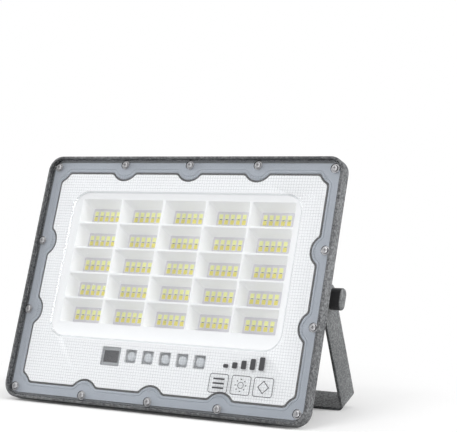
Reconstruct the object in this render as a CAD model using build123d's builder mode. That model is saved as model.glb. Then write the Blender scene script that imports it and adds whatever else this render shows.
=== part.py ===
"""Solar flood light: a square-cell LED lamp head that tilts between the arms of a U bracket.

Millimetres, +Z up, +X to the lamp's right, the lamp faces -Y. The origin is on the ground, under the
middle of the whole light. The light rests on the rear bottom edge of its rim and on the bracket's foot.
"""

import os
from math import cos, radians, sin

from build123d import *

# Attitude at rest
LEAN = 19.0  # the face leans back from vertical
ARM_LEAN = 22.3  # the bracket's arms lean back from vertical

# Rim and body of the housing; n is depth along the face normal, 0 at the lens's front face
RIM_W, RIM_H, RIM_R = 290.2, 215.8, 13.0
RIM_FRONT, RIM_BACK = 3.0, -8.0
RIM_EDGE = 1.0
LIP = 2.0
BODY_W, BODY_H, BODY_R = 250.0, 176.0, 20.0
BODY_BACK = -42.0
BODY_DRAFT, BODY_EDGE = 3.0, 2.5
TOWER_R, TOWER_DEPTH = 3.6, 4.5  # metal behind the rim for each lens screw
SEAT = -4.0  # ledge that carries the gasket and the reflector plate
CAVITY_W, CAVITY_H, CAVITY_R = 242.0, 168.0, 14.0
CAVITY_FLOOR = -16.5
WEB = 2.5
POCKET_W, POCKET_H, POCKET_R = 238.0, 164.0, 16.0  # holds the two heat sinks
BAY_W, BAY_H, BAY_R, BAY_WALL = 152.0, 72.0, 5.0, 8.0
LUG_U, LUG_W, LUG_H = 112.0, 30.0, 26.0  # solid metal round each pivot stud
PORT_U, PORT_V = 95.0, -52.0  # cable port on the right, breather on the left
PORT_R = 11.0

# Heat sinks: a base plate and upright fins, in the pocket above and below the battery bay
SINK_PLAY, SINK_BASE, SINK_RECESS = 0.4, 2.5, 0.8
FIN_PITCH, FIN_GAP, FINS = 9.5, 6.5, 24
SINK_OUTER_U, SINK_OUTER_V = 11.5 * FIN_PITCH, 30.0  # screws, each between two fins
SINK_INNER_U, SINK_INNER_V = 4.5 * FIN_PITCH, 64.0
SINK_HEAD_T, SINK_SCREW_BITE, SINK_TAP_DEPTH = 1.8, 1.2, 1.6

# Lens, gasket and the row of screws round them
GAP = 0.5
LENS_T, LENS_EDGE = 2.0, 0.5
WINDOW_W, WINDOW_H, WINDOW_R, WINDOW_V = 226.0, 130.0, 16.0, 12.0  # shared by the lens and reflector
LENS_WINDOW_DROP, LENS_WINDOW_SLOPE = 0.7, 1.6
GASKET_W, GASKET_H, GASKET_R = 285.4, 210.8, 10.4
GASKET_HOLE_R, GASKET_PLAY = 2.4, 0.05
VIEW_W, VIEW_H = 264.6, 189.0  # clear opening inside the gasket
BULGE_R, BULGE_BLEND = 12.5, 3.5  # the gasket runs round each screw
SCREW_U, SCREW_V = 136.0, 98.5
TOP_SCREW_U, TOP_SCREW_V = 65.6, 100.9
SIDE_SCREW_U, SIDE_SCREW_V = 138.4, 30.9
SCREW_R, SCREW_HEAD_R, SCREW_HEAD_T, SCREW_LENGTH = 1.5, 2.8, 1.7, 10.0
SCREW_TAP_R, SCREW_CLEAR_R, SCREW_ROUND = 1.55, 1.75, 1.1
LENS_TAP_DEPTH = 7.0
RECESS_R, RECESS_DEPTH = 4.0, 0.9
LENS_WASHER_R, LENS_WASHER_T = 3.6, 0.5
CROSS_L, CROSS_W, CROSS_DEPTH = 2.6, 0.6, 1.0

# Reflector, boards and lights
CELLS_U, CELLS_V = 5, 5
CELL_U, CELL_V = 42.4, 22.2
CELL_WALL, CELL_ROUND, CELL_FLOOR_ROUND = 1.5, 1.2, 1.0
STRIP_WALL, WELL_ROUND = 1.5, 1.0
GRID_V = 15.9
PLATE_FRONT, PLATE_T, PLATE_GAP = -2.4, 1.5, 1.8
WELL_FIELD_DEPTH, WELL_FIELD_SLOPE = 1.4, 2.2  # the reflector is sunk a little behind the window
WELL_FIELD_SKIRT = 1.0
BOARD_FRONT, BOARD_T, BOARD_PLAY = -14.2, 1.6, 0.1
LED_BOARD_W, LED_BOARD_H, LED_BOARD_R = 230.0, 116.0, 3.0
CONTROL_U, CONTROL_W, CONTROL_H, CONTROL_R = 1.3, 156.0, 24.0, 1.5
PAD_W, PAD_H = 206.0, 104.0
LED_SCREW_U, LED_SCREW_V, CONTROL_SCREW_U, CONTROL_SCREW_V = 111.0, 50.0, 72.0, 8.5
SMALL_SCREW_R, SMALL_TAP_R, SMALL_CLEAR_R, SMALL_HEAD_R = 1.25, 1.3, 1.6, 2.6  # boards and heat sinks
BOARD_HEAD_T, BOARD_HEAD_ROUND, BOARD_SCREW_L, BOARD_TAP_DEPTH, SPACER_R = 1.6, 0.7, 4.0, 1.8, 3.0
CELL_FLOOR_U, CELL_FLOOR_V, CELL_FLOOR_DROP = 30.5, 13.5, 1.8  # the floors sit low in their cells
LED_U, LED_V, LED_T, LEDS_IN_ROW = 3.9, 4.2, 0.7, 5
LED_PITCH_U, LED_PITCH_V = 5.65, 4.9
STRIP_V = -64.7  # height of the charge indicators
SENSOR_U, SENSOR_V, SENSOR_W, SENSOR_H = -44.8, -66.0, 19.0, 15.8
SENSOR_PANE_W, SENSOR_PANE_H, SENSOR_PANE_T = 14.4, 9.8, 1.2
SENSOR_FRONT, SENSOR_RECESS, SENSOR_PLAY, BEZEL_ROUND, PANE_ROUND = -3.2, 0.5, 0.2, 0.8, 0.4
RECEIVER_W, RECEIVER_H, RECEIVER_T, RECEIVER_LENS_R, RECEIVER_LENS_T = 6.0, 6.8, 2.4, 2.3, 1.5
INDICATORS, INDICATOR_PITCH, INDICATOR_MID, WELL = 5, 16.6, 8.1, 11.0
LAMP_R, LAMP_FRONT, LAMP_ROUND = 4.1, -2.9, 1.9
LAMP_BLOCK, LAMP_BLOCK_FRONT, LAMP_BLOCK_ROUND, LAMP_PLAY = 10.4, -4.9, 0.7, 0.1
CUSHION_PLAY, CUSHION_FRONT = 0.1, -2.7

# Charge controller's larger parts: a choke and a chip on one side, two capacitors on the other
PARTS_U, PARTS_T, CHOKE, CHOKE_RISE = 62.0, 7.0, 9.0, 2.0
CAPACITOR_U, CAPACITOR_R, CAPACITOR_PITCH = 61.0, 3.1, 10.0
CHIP_W, CHIP_H, CHIP_T, CHIP_DROP = 7.0, 5.0, 1.5, 7.5

# Battery
CELL_R, CELL_L, BATTERY_PITCH, BATTERY_N = 9.2, 65.2, 20.5, -30.0
CELL_END_GAP = 1.4  # half the space between the two cells of a row
HOLDER_PLAY, HOLDER_T, HOLDER_R, HOLDER_END, HOLDER_END_U, HOLDER_DEPTH = 2.0, 1.2, 3.0, 2.0, 71.0, 13.0
LINK_T, LINK_W, LINK_U, LINK_OVERHANG = 0.4, 7.0, CELL_L + 2.0, 4.0

# Rear cover
COVER_W, COVER_H, COVER_R, COVER_SEAL, COVER_T = 165.0, 88.0, 6.0, 1.0, 2.5
COVER_SEAL_INSET, COVER_SEAL_HOLE_R = 1.0, 1.7
COVER_PAD_INSET, COVER_PAD_T, COVER_PAD_DRAFT, COVER_EDGE = 7.0, 1.2, 20.0, 0.5
COVER_SCREW_U, COVER_SCREW_V, COVER_SCREW_L, COVER_TAP_DEPTH = 79.8, 40.0, 9.0, 9.0
COVER_HEAD_T, COVER_HEAD_ROUND = 1.8, 0.8

# Cable gland, with a bore for the panel's lead, and the breather opposite
PORT_BORE, VENT_BORE, PORT_FIT, THROUGH = 4.5, 2.0, 0.05, 30.0
GLAND_BORE, GLAND_STEM_R, GLAND_STEM_L = 4.0, 6.0, 8.5
GLAND_FLAT_R, GLAND_FLANGE_T = 7.5, 4.0
GLAND_THREAD_R, GLAND_THREAD_BORE, GLAND_THREAD_L = 5.6, 4.6, 6.0
GLAND_SEAL_R, GLAND_SEAL_BORE, GLAND_SEAL_L = 4.5, 3.0, 9.0
NUT_R, NUT_BORE, NUT_GAP, NUT_L = 7.4, 5.65, 0.3, 9.0
NUT_DOME_BORE, NUT_DOME_L, NUT_DOME_DRAFT = 3.4, 3.0, 25.0
BREATHER_R, BREATHER_T, BREATHER_EDGE, BREATHER_STEM_R, BREATHER_STEM_L = 6.5, 3.0, 1.0, 4.0, 5.5

# Bracket and pivots
PIVOT_N = -32.6
ARM_X, STRIP_T, STRIP_W, BEND_R, STRIP_EDGE = 132.0, 2.5, 24.0, 4.5, 0.5
ARM_END, ARM_END_R = 9.5, 7.0  # the arm's top, above its pivot hole
STUD_R, STUD_CLEARANCE, STUD_END = 3.0, 0.06, 141.0
SIDE_PLAY = 0.3
STUD_DEPTH, STUD_TIP_GAP = 20.0, 1.0
BOSS_R, BOSS_FACE, BOSS_DEPTH = 10.0, 128.6, 8.0
STUD_FIT = 0.05
WASHER_R, WASHER_T = 6.0, 1.0
KNOB_W, KNOB_H, KNOB_END, KNOB_EDGE, KNOB_TIP_GAP = 10.4, 18.0, 144.2, 1.3, 0.3
FOOT_HOLE_R, SIDE_HOLE_R, SIDE_HOLE_X = 4.5, 3.5, 45.0

# Places that follow from these
lean, arm_lean = radians(LEAN), radians(ARM_LEAN)
face_z = RIM_H / 2 * cos(lean) - RIM_BACK * sin(lean) - RIM_EDGE * (cos(lean) + sin(lean) - 1)
pivot_z = face_z + PIVOT_N * sin(lean)
foot_round = STRIP_EDGE * (cos(arm_lean) + sin(arm_lean) - 1)
reach = (pivot_z - STRIP_W / 2 * sin(arm_lean) + foot_round) / cos(arm_lean)
front_y = -RIM_H / 2 * sin(lean) - RIM_FRONT * cos(lean) + RIM_EDGE * (cos(lean) + sin(lean) - 1)
back_y = -PIVOT_N * cos(lean) + reach * sin(arm_lean) + STRIP_W / 2 * cos(arm_lean) - foot_round
face_y = -(front_y + back_y) / 2
pivot_y = face_y - PIVOT_N * cos(lean)

HEAD = Plane(origin=(0, face_y, face_z), x_dir=(1, 0, 0), z_dir=(0, -cos(lean), sin(lean)))
FACING = Axis((0, face_y, face_z), (0, -cos(lean), sin(lean)))
U_SHAPE = Plane(origin=(0, pivot_y, pivot_z), x_dir=(1, 0, 0), z_dir=(0, -cos(arm_lean), -sin(arm_lean)))
PROFILE = Plane(origin=(0, pivot_y, pivot_z), x_dir=(0, cos(arm_lean), sin(arm_lean)), z_dir=(1, 0, 0))
FOOT = Plane(
    origin=(0, pivot_y + reach * sin(arm_lean), pivot_z - reach * cos(arm_lean)),
    x_dir=(1, 0, 0),
    z_dir=(0, sin(arm_lean), -cos(arm_lean)),
)

screws = [(u * SCREW_U, v * SCREW_V) for u in (-1, 1) for v in (-1, 1)]
screws += [(u * TOP_SCREW_U, v * TOP_SCREW_V) for u in (-1, 0, 1) for v in (-1, 1)]
screws += [(u * SIDE_SCREW_U, v * SIDE_SCREW_V) for u in (-1, 1) for v in (-1, 1)]
cells = [
    ((i - (CELLS_U - 1) / 2) * CELL_U, GRID_V + (j - (CELLS_V - 1) / 2) * CELL_V)
    for i in range(CELLS_U)
    for j in range(CELLS_V)
]
indicators = [
    (INDICATOR_MID + (i - (INDICATORS - 1) / 2) * INDICATOR_PITCH, STRIP_V) for i in range(INDICATORS)
]
led_screws = [(u * LED_SCREW_U, GRID_V + v * LED_SCREW_V) for u in (-1, 1) for v in (-1, 0, 1)]
control_screws = [
    (u * CONTROL_SCREW_U + CONTROL_U, STRIP_V + v * CONTROL_SCREW_V) for u in (-1, 1) for v in (-1, 1)
]
board_screws = led_screws + control_screws
cover_screws = [(u * COVER_SCREW_U, v * COVER_SCREW_V) for u in (-1, 1) for v in (-1, 1)]
cover_screws += [(0, COVER_SCREW_V), (0, -COVER_SCREW_V)]
sink_screws = [(u * SINK_OUTER_U, v * SINK_OUTER_V) for u in (-1, 1) for v in (-1, 1)]
sink_screws += [(u * SINK_INNER_U, v * SINK_INNER_V) for u in (-1, 1) for v in (-1, 1)]

capacitors = [(CAPACITOR_U, STRIP_V + side * CAPACITOR_PITCH / 2) for side in (-1, 1)]

# One turning axis for every piece of a pivot, on each side of the lamp
sides = {
    "right": Plane(origin=(0, pivot_y, pivot_z), x_dir=(0, 1, 0), z_dir=(1, 0, 0)),
    "left": Plane(origin=(0, pivot_y, pivot_z), x_dir=(0, -1, 0), z_dir=(-1, 0, 0)),
}

os.makedirs("parts", exist_ok=True)


def save(builder, name):
    """Label a finished piece and write it to its own file."""
    builder.part.label = name
    export_step(builder.part, f"parts/{name}.step")


def view_outline(inset):
    """Sketch the opening inside the gasket, scalloped round every screw, drawn in by inset."""
    Rectangle(VIEW_W - 2 * inset, VIEW_H - 2 * inset)
    with Locations(*screws):
        Circle(BULGE_R + inset, mode=Mode.SUBTRACT)


def window_outline(inset):
    """Sketch the window that the lens and the reflector share, drawn in by inset."""
    with Locations((0, WINDOW_V)):
        RectangleRounded(WINDOW_W - 2 * inset, WINDOW_H - 2 * inset, WINDOW_R - inset)


# Housing: a die-cast pan with a rim, a fin pocket and a battery bay behind, and a boss for each stud
with BuildPart() as housing:
    with BuildSketch(HEAD.offset(RIM_BACK)):
        RectangleRounded(RIM_W, RIM_H, RIM_R)
    extrude(amount=RIM_FRONT - RIM_BACK)
    fillet(housing.faces().sort_by(FACING)[-1].edges(), RIM_EDGE)
    fillet(housing.faces().sort_by(FACING)[0].edges(), RIM_EDGE)
    with BuildSketch(HEAD.offset(RIM_BACK)):
        RectangleRounded(BODY_W, BODY_H, BODY_R)
    extrude(amount=BODY_BACK - RIM_BACK, taper=BODY_DRAFT)
    fillet(housing.faces().sort_by(FACING)[0].edges(), BODY_EDGE)
    with BuildSketch(HEAD.offset(RIM_BACK)):
        with Locations(*screws):
            Circle(TOWER_R)
    extrude(amount=-TOWER_DEPTH)
    for plane in sides.values():
        with BuildSketch(plane.offset(BOSS_FACE)):
            Circle(BOSS_R)
        extrude(amount=-BOSS_DEPTH)
    with BuildSketch(HEAD.offset(SEAT)):
        RectangleRounded(RIM_W - 2 * LIP, RIM_H - 2 * LIP, RIM_R - LIP)
    extrude(amount=RIM_FRONT - SEAT, mode=Mode.SUBTRACT)
    with BuildSketch(HEAD.offset(CAVITY_FLOOR)):
        RectangleRounded(CAVITY_W, CAVITY_H, CAVITY_R)
    extrude(amount=SEAT - CAVITY_FLOOR, mode=Mode.SUBTRACT)
    with BuildSketch(HEAD.offset(BODY_BACK)):
        RectangleRounded(BAY_W, BAY_H, BAY_R)
    extrude(amount=CAVITY_FLOOR - WEB - BODY_BACK, mode=Mode.SUBTRACT)
    with BuildSketch(HEAD.offset(BODY_BACK)):
        RectangleRounded(POCKET_W, POCKET_H, POCKET_R)
        Rectangle(BAY_W + 2 * BAY_WALL, BAY_H + 2 * BAY_WALL, mode=Mode.SUBTRACT)
        with Locations((-LUG_U, 0), (LUG_U, 0)):
            Rectangle(LUG_W, LUG_H, mode=Mode.SUBTRACT)
        with Locations((PORT_U, PORT_V), (-PORT_U, PORT_V)):
            Circle(PORT_R, mode=Mode.SUBTRACT)
    extrude(amount=CAVITY_FLOOR - WEB - BODY_BACK, mode=Mode.SUBTRACT)
    with Locations(HEAD.offset(BODY_BACK)):
        with Locations(Location((PORT_U, PORT_V, 0), (180, 0, 0))):
            CounterBoreHole(PORT_BORE, GLAND_STEM_R + PORT_FIT, GLAND_STEM_L + PORT_FIT, THROUGH)
        with Locations(Location((-PORT_U, PORT_V, 0), (180, 0, 0))):
            CounterBoreHole(VENT_BORE, BREATHER_STEM_R + PORT_FIT, BREATHER_STEM_L + PORT_FIT, THROUGH)
        with Locations(*[Location((u, v, 0), (180, 0, 0)) for u, v in cover_screws]):
            Hole(SCREW_TAP_R, COVER_TAP_DEPTH)
    with Locations(HEAD.offset(SEAT)):
        with Locations(*screws):
            Hole(SCREW_TAP_R, LENS_TAP_DEPTH)
    with Locations(HEAD.offset(CAVITY_FLOOR)):
        with Locations(*board_screws):
            Hole(SMALL_TAP_R, BOARD_TAP_DEPTH)
    with Locations(HEAD.offset(CAVITY_FLOOR - WEB)):
        with Locations(*[Location((u, v, 0), (180, 0, 0)) for u, v in sink_screws]):
            Hole(SMALL_TAP_R, SINK_TAP_DEPTH)
    for plane in sides.values():
        with BuildSketch(plane.offset(BOSS_FACE)):
            Circle(STUD_R + STUD_FIT)
        extrude(amount=-STUD_DEPTH, mode=Mode.SUBTRACT)
save(housing, "housing")

# Heat sinks: the same plate and fins above and below the pivots, cleared round the bay and the ports
with BuildPart() as heat_sinks:
    sink_back = CAVITY_FLOOR - WEB
    fin_back = sink_back - SINK_BASE
    fin_length = fin_back - BODY_BACK - SINK_RECESS
    for start, length, finned in ((sink_back, SINK_BASE, False), (fin_back, fin_length, True)):
        with BuildSketch(HEAD.offset(start)):
            RectangleRounded(POCKET_W - 2 * SINK_PLAY, POCKET_H - 2 * SINK_PLAY, POCKET_R - SINK_PLAY)
            Rectangle(POCKET_W, LUG_H + 2 * SINK_PLAY, mode=Mode.SUBTRACT)
            bay_clear = 2 * (BAY_WALL + SINK_PLAY)
            Rectangle(BAY_W + bay_clear, BAY_H + bay_clear, mode=Mode.SUBTRACT)
            with Locations((PORT_U, PORT_V), (-PORT_U, PORT_V)):
                Circle(PORT_R + SINK_PLAY, mode=Mode.SUBTRACT)
            if finned:
                with GridLocations(FIN_PITCH, 1, FINS, 1):
                    Rectangle(FIN_GAP, POCKET_H, mode=Mode.SUBTRACT)
        extrude(amount=-length)
    with Locations(HEAD.offset(fin_back)):
        with Locations(*[Location((u, v, 0), (180, 0, 0)) for u, v in sink_screws]):
            Hole(SMALL_CLEAR_R, SINK_BASE)
save(heat_sinks, "heat_sinks")

with BuildPart() as sink_screw_set:
    with BuildSketch(HEAD.offset(fin_back)):
        with Locations(*sink_screws):
            Circle(SMALL_HEAD_R)
    extrude(amount=-SINK_HEAD_T)
    with BuildSketch(HEAD.offset(fin_back)):
        with Locations(*sink_screws):
            Circle(SMALL_SCREW_R)
    extrude(amount=SINK_BASE + SINK_SCREW_BITE)
save(sink_screw_set, "heat_sink_screws")

# Gasket: a soft band in the seat, its inner edge scalloped round the screws
with BuildPart() as gasket:
    with BuildSketch(HEAD.offset(SEAT)):
        RectangleRounded(GASKET_W, GASKET_H, GASKET_R)
        with BuildSketch(mode=Mode.PRIVATE) as opening:
            view_outline(0.0)
            fillet(opening.vertices(), BULGE_BLEND)
        add(opening.sketch_local, mode=Mode.SUBTRACT)
        with Locations(*screws):
            Circle(GASKET_HOLE_R, mode=Mode.SUBTRACT)
    extrude(amount=-LENS_T - SEAT - GASKET_PLAY)
save(gasket, "gasket")

# Lens: one clear moulding with a sunk window and a recess round each screw
with BuildPart() as lens:
    with BuildSketch(HEAD.offset(-LENS_T)):
        RectangleRounded(RIM_W - 2 * LIP - 2 * GAP, RIM_H - 2 * LIP - 2 * GAP, RIM_R - LIP - GAP)
    extrude(amount=LENS_T)
    fillet(lens.faces().sort_by(FACING)[-1].edges(), LENS_EDGE)
    with BuildSketch(HEAD):
        window_outline(0.0)
    with BuildSketch(HEAD.offset(-LENS_WINDOW_DROP)):
        window_outline(LENS_WINDOW_SLOPE)
    loft(mode=Mode.SUBTRACT)
    with Locations(HEAD):
        with Locations(*screws):
            CounterBoreHole(SCREW_CLEAR_R, RECESS_R, RECESS_DEPTH, LENS_T)
save(lens, "lens")

with BuildPart() as lens_washers:
    with BuildSketch(HEAD.offset(-RECESS_DEPTH)):
        with Locations(*screws):
            Circle(LENS_WASHER_R)
            Circle(SCREW_CLEAR_R, mode=Mode.SUBTRACT)
    extrude(amount=LENS_WASHER_T)
save(lens_washers, "lens_washers")

# Lens screws: pan heads with a cross recess
head_seat = LENS_WASHER_T - RECESS_DEPTH
with BuildPart() as lens_screws:
    with BuildSketch(HEAD.offset(head_seat)):
        with Locations(*screws):
            Circle(SCREW_HEAD_R)
    extrude(amount=SCREW_HEAD_T)
    fillet(lens_screws.faces().group_by(FACING)[-1].edges(), SCREW_ROUND)
    with BuildSketch(HEAD.offset(head_seat)):
        with Locations(*screws):
            Circle(SCREW_R)
    extrude(amount=-SCREW_LENGTH)
    with BuildSketch(HEAD.offset(head_seat + SCREW_HEAD_T)):
        with Locations(*screws):
            Rectangle(CROSS_L, CROSS_W)
            Rectangle(CROSS_W, CROSS_L)
    extrude(amount=-CROSS_DEPTH, mode=Mode.SUBTRACT)
save(lens_screws, "lens_screws")

# Reflector: a white plate, sunk behind the window, with 25 tapered cells, a sensor opening and five wells
field_front = PLATE_FRONT - WELL_FIELD_DEPTH
with BuildPart() as reflector:
    with BuildSketch(HEAD.offset(PLATE_FRONT)) as plate_outline:
        view_outline(PLATE_GAP)
        fillet(plate_outline.vertices(), BULGE_BLEND)
    extrude(amount=-PLATE_T)
    with BuildSketch(HEAD.offset(PLATE_FRONT)):
        window_outline(-WELL_FIELD_SKIRT)
    extrude(amount=-PLATE_T - WELL_FIELD_DEPTH)
    with BuildSketch(HEAD.offset(PLATE_FRONT)):
        with Locations((0, GRID_V)):
            Rectangle(CELLS_U * CELL_U + CELL_WALL, CELLS_V * CELL_V + CELL_WALL)
        with Locations(((SENSOR_U + indicators[-1][0]) / 2, SENSOR_V)):
            strip_width = indicators[-1][0] - SENSOR_U + SENSOR_W
            Rectangle(strip_width + 2 * STRIP_WALL, SENSOR_H + 2 * STRIP_WALL)
    extrude(amount=BOARD_FRONT - PLATE_FRONT + BOARD_PLAY)
    with BuildSketch(HEAD.offset(PLATE_FRONT)):
        window_outline(0.0)
    with BuildSketch(HEAD.offset(field_front)):
        window_outline(WELL_FIELD_SLOPE)
    loft(mode=Mode.SUBTRACT)
    with BuildSketch(HEAD.offset(PLATE_FRONT)):
        with Locations((SENSOR_U, SENSOR_V)):
            RectangleRounded(SENSOR_W, SENSOR_H, WELL_ROUND)
        with Locations(*indicators):
            RectangleRounded(WELL, WELL, WELL_ROUND)
    extrude(amount=BOARD_FRONT - PLATE_FRONT, mode=Mode.SUBTRACT)
    for u, v in cells:
        with BuildSketch(HEAD.offset(field_front)):
            with Locations((u, v)):
                RectangleRounded(CELL_U - CELL_WALL, CELL_V - CELL_WALL, CELL_ROUND)
        with BuildSketch(HEAD.offset(BOARD_FRONT)):
            with Locations((u, v - CELL_FLOOR_DROP)):
                RectangleRounded(CELL_FLOOR_U, CELL_FLOOR_V, CELL_FLOOR_ROUND)
        loft(mode=Mode.SUBTRACT)
save(reflector, "reflector")

# Soft black edging that fills the gap between the gasket and the reflector plate
with BuildPart() as plate_cushion:
    with BuildSketch(HEAD.offset(SEAT)) as cushion_outline:
        view_outline(CUSHION_PLAY)
        fillet(cushion_outline.vertices(), BULGE_BLEND)
        with BuildSketch(mode=Mode.PRIVATE) as cushion_inside:
            view_outline(PLATE_GAP - CUSHION_PLAY)
            fillet(cushion_inside.vertices(), BULGE_BLEND)
        add(cushion_inside.sketch_local, mode=Mode.SUBTRACT)
    extrude(amount=CUSHION_FRONT - SEAT)
save(plate_cushion, "plate_cushion")

# Boards behind the reflector, and the pad that carries heat into the housing
with BuildPart() as led_board:
    with BuildSketch(HEAD.offset(BOARD_FRONT - BOARD_T)):
        with Locations((0, GRID_V)):
            RectangleRounded(LED_BOARD_W, LED_BOARD_H, LED_BOARD_R)
        with Locations(*led_screws):
            Circle(SMALL_CLEAR_R, mode=Mode.SUBTRACT)
    extrude(amount=BOARD_T)
save(led_board, "led_board")

with BuildPart() as thermal_pad:
    with BuildSketch(HEAD.offset(CAVITY_FLOOR)):
        with Locations((0, GRID_V)):
            Rectangle(PAD_W, PAD_H)
    extrude(amount=BOARD_FRONT - BOARD_T - CAVITY_FLOOR)
save(thermal_pad, "thermal_pad")

with BuildPart() as control_board:
    with BuildSketch(HEAD.offset(BOARD_FRONT - BOARD_T)):
        with Locations((CONTROL_U, STRIP_V)):
            RectangleRounded(CONTROL_W, CONTROL_H, CONTROL_R)
        with Locations(*control_screws):
            Circle(SMALL_CLEAR_R, mode=Mode.SUBTRACT)
    extrude(amount=BOARD_T)
save(control_board, "control_board")

with BuildPart() as control_spacers:
    with BuildSketch(HEAD.offset(CAVITY_FLOOR)):
        with Locations(*control_screws):
            Circle(SPACER_R)
            Circle(SMALL_CLEAR_R, mode=Mode.SUBTRACT)
    extrude(amount=BOARD_FRONT - BOARD_T - CAVITY_FLOOR)
save(control_spacers, "control_spacers")

with BuildPart() as board_screw_set:
    with BuildSketch(HEAD.offset(BOARD_FRONT)):
        with Locations(*board_screws):
            Circle(SMALL_HEAD_R)
    extrude(amount=BOARD_HEAD_T)
    fillet(board_screw_set.faces().group_by(FACING)[-1].edges(), BOARD_HEAD_ROUND)
    with BuildSketch(HEAD.offset(BOARD_FRONT)):
        with Locations(*board_screws):
            Circle(SMALL_SCREW_R)
    extrude(amount=-BOARD_SCREW_L)
save(board_screw_set, "board_screws")

# LED packages: an upper row of cool white and a lower row of warm white in every cell
for tone, side in (("cool", 1), ("warm", -1)):
    with BuildPart() as leds:
        with BuildSketch(HEAD.offset(BOARD_FRONT)):
            for u, v in cells:
                with Locations((u, v - CELL_FLOOR_DROP + side * LED_PITCH_V / 2)):
                    with GridLocations(LED_PITCH_U, LED_PITCH_V, LEDS_IN_ROW, 1):
                        Rectangle(LED_U, LED_V)
        extrude(amount=LED_T)
    save(leds, f"leds_{tone}")

# Remote receiver and light sensor behind a dark pane, in a grey bezel
with BuildPart() as sensor_bezel:
    with BuildSketch(HEAD.offset(BOARD_FRONT)):
        with Locations((SENSOR_U, SENSOR_V)):
            RectangleRounded(SENSOR_W - 2 * SENSOR_PLAY, SENSOR_H - 2 * SENSOR_PLAY, BEZEL_ROUND)
            pane_hole_w, pane_hole_h = SENSOR_PANE_W + SENSOR_PLAY, SENSOR_PANE_H + SENSOR_PLAY
            RectangleRounded(pane_hole_w, pane_hole_h, PANE_ROUND, mode=Mode.SUBTRACT)
    extrude(amount=SENSOR_FRONT - BOARD_FRONT)
save(sensor_bezel, "sensor_bezel")

with BuildPart() as sensor_pane:
    with BuildSketch(HEAD.offset(SENSOR_FRONT - SENSOR_RECESS)):
        with Locations((SENSOR_U, SENSOR_V)):
            RectangleRounded(SENSOR_PANE_W, SENSOR_PANE_H, PANE_ROUND)
    extrude(amount=-SENSOR_PANE_T)
save(sensor_pane, "sensor_pane")

with BuildPart() as sensor_chip:
    with BuildSketch(HEAD.offset(BOARD_FRONT)):
        with Locations((SENSOR_U, SENSOR_V)):
            Rectangle(RECEIVER_W, RECEIVER_H)
    extrude(amount=RECEIVER_T)
    with BuildSketch(HEAD.offset(BOARD_FRONT + RECEIVER_T)):
        with Locations((SENSOR_U, SENSOR_V)):
            Circle(RECEIVER_LENS_R)
    extrude(amount=RECEIVER_LENS_T)
save(sensor_chip, "sensor_receiver")

# Charge indicators: a round-topped light guide in a square grey block fills each well
with BuildPart() as indicator_blocks:
    with BuildSketch(HEAD.offset(BOARD_FRONT)):
        with Locations(*indicators):
            RectangleRounded(LAMP_BLOCK, LAMP_BLOCK, LAMP_BLOCK_ROUND)
            Circle(LAMP_R + LAMP_PLAY, mode=Mode.SUBTRACT)
    extrude(amount=LAMP_BLOCK_FRONT - BOARD_FRONT)
save(indicator_blocks, "indicator_blocks")

with BuildPart() as indicator_lamps:
    with BuildSketch(HEAD.offset(BOARD_FRONT)):
        with Locations(*indicators):
            Circle(LAMP_R)
    extrude(amount=LAMP_FRONT - BOARD_FRONT)
    fillet(indicator_lamps.faces().group_by(FACING)[-1].edges(), LAMP_ROUND)
save(indicator_lamps, "indicator_lamps")

# Charge controller's larger parts, beside the wells and hidden by the reflector plate
with BuildPart() as controller_parts:
    with BuildSketch(HEAD.offset(BOARD_FRONT)):
        with Locations((-PARTS_U, STRIP_V + CHOKE_RISE)):
            Rectangle(CHOKE, CHOKE)
        with Locations(*capacitors):
            Circle(CAPACITOR_R)
    extrude(amount=PARTS_T)
    with BuildSketch(HEAD.offset(BOARD_FRONT)):
        with Locations((-PARTS_U, STRIP_V - CHIP_DROP)):
            Rectangle(CHIP_W, CHIP_H)
    extrude(amount=CHIP_T)
save(controller_parts, "controller_parts")

# Battery: six cells in a holder, joined by links, behind a sealed cover
with BuildPart() as battery_cells:
    for row in (-1, 0, 1):
        for end in (-1, 1):
            place = Vector(end * (CELL_L / 2 + CELL_END_GAP), row * BATTERY_PITCH, BATTERY_N)
            middle = HEAD.from_local_coords(place)
            with Locations(Location(middle, (0, 90, 0))):
                Cylinder(CELL_R, CELL_L)
save(battery_cells, "battery_cells")

with BuildPart() as battery_holder:
    with BuildSketch(HEAD.offset(CAVITY_FLOOR - WEB)):
        RectangleRounded(BAY_W - 2 * HOLDER_PLAY, BAY_H - 2 * HOLDER_PLAY, HOLDER_R)
    extrude(amount=-HOLDER_T)
    with BuildSketch(HEAD.offset(CAVITY_FLOOR - WEB)):
        with GridLocations(2 * HOLDER_END_U, 1, 2, 1):
            Rectangle(HOLDER_END, BAY_H - 2 * HOLDER_R)
    extrude(amount=-HOLDER_DEPTH)
save(battery_holder, "battery_holder")

with BuildPart() as battery_links:
    with BuildSketch(HEAD.offset(BATTERY_N - LINK_W / 2)):
        link_length = 2 * (BATTERY_PITCH + LINK_OVERHANG)
        with Locations((-LINK_U, 0), (LINK_U, 0)):
            Rectangle(LINK_T, link_length)
        Rectangle(2 * LINK_T, link_length)
    extrude(amount=LINK_W)
save(battery_links, "battery_links")

with BuildPart() as cover_gasket:
    with BuildSketch(HEAD.offset(BODY_BACK)):
        seal_w, seal_h = COVER_W - 2 * COVER_SEAL_INSET, COVER_H - 2 * COVER_SEAL_INSET
        RectangleRounded(seal_w, seal_h, COVER_R - COVER_SEAL_INSET)
        RectangleRounded(BAY_W, BAY_H, BAY_R, mode=Mode.SUBTRACT)
        with Locations(*cover_screws):
            Circle(COVER_SEAL_HOLE_R, mode=Mode.SUBTRACT)
    extrude(amount=-COVER_SEAL)
save(cover_gasket, "cover_gasket")

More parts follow.
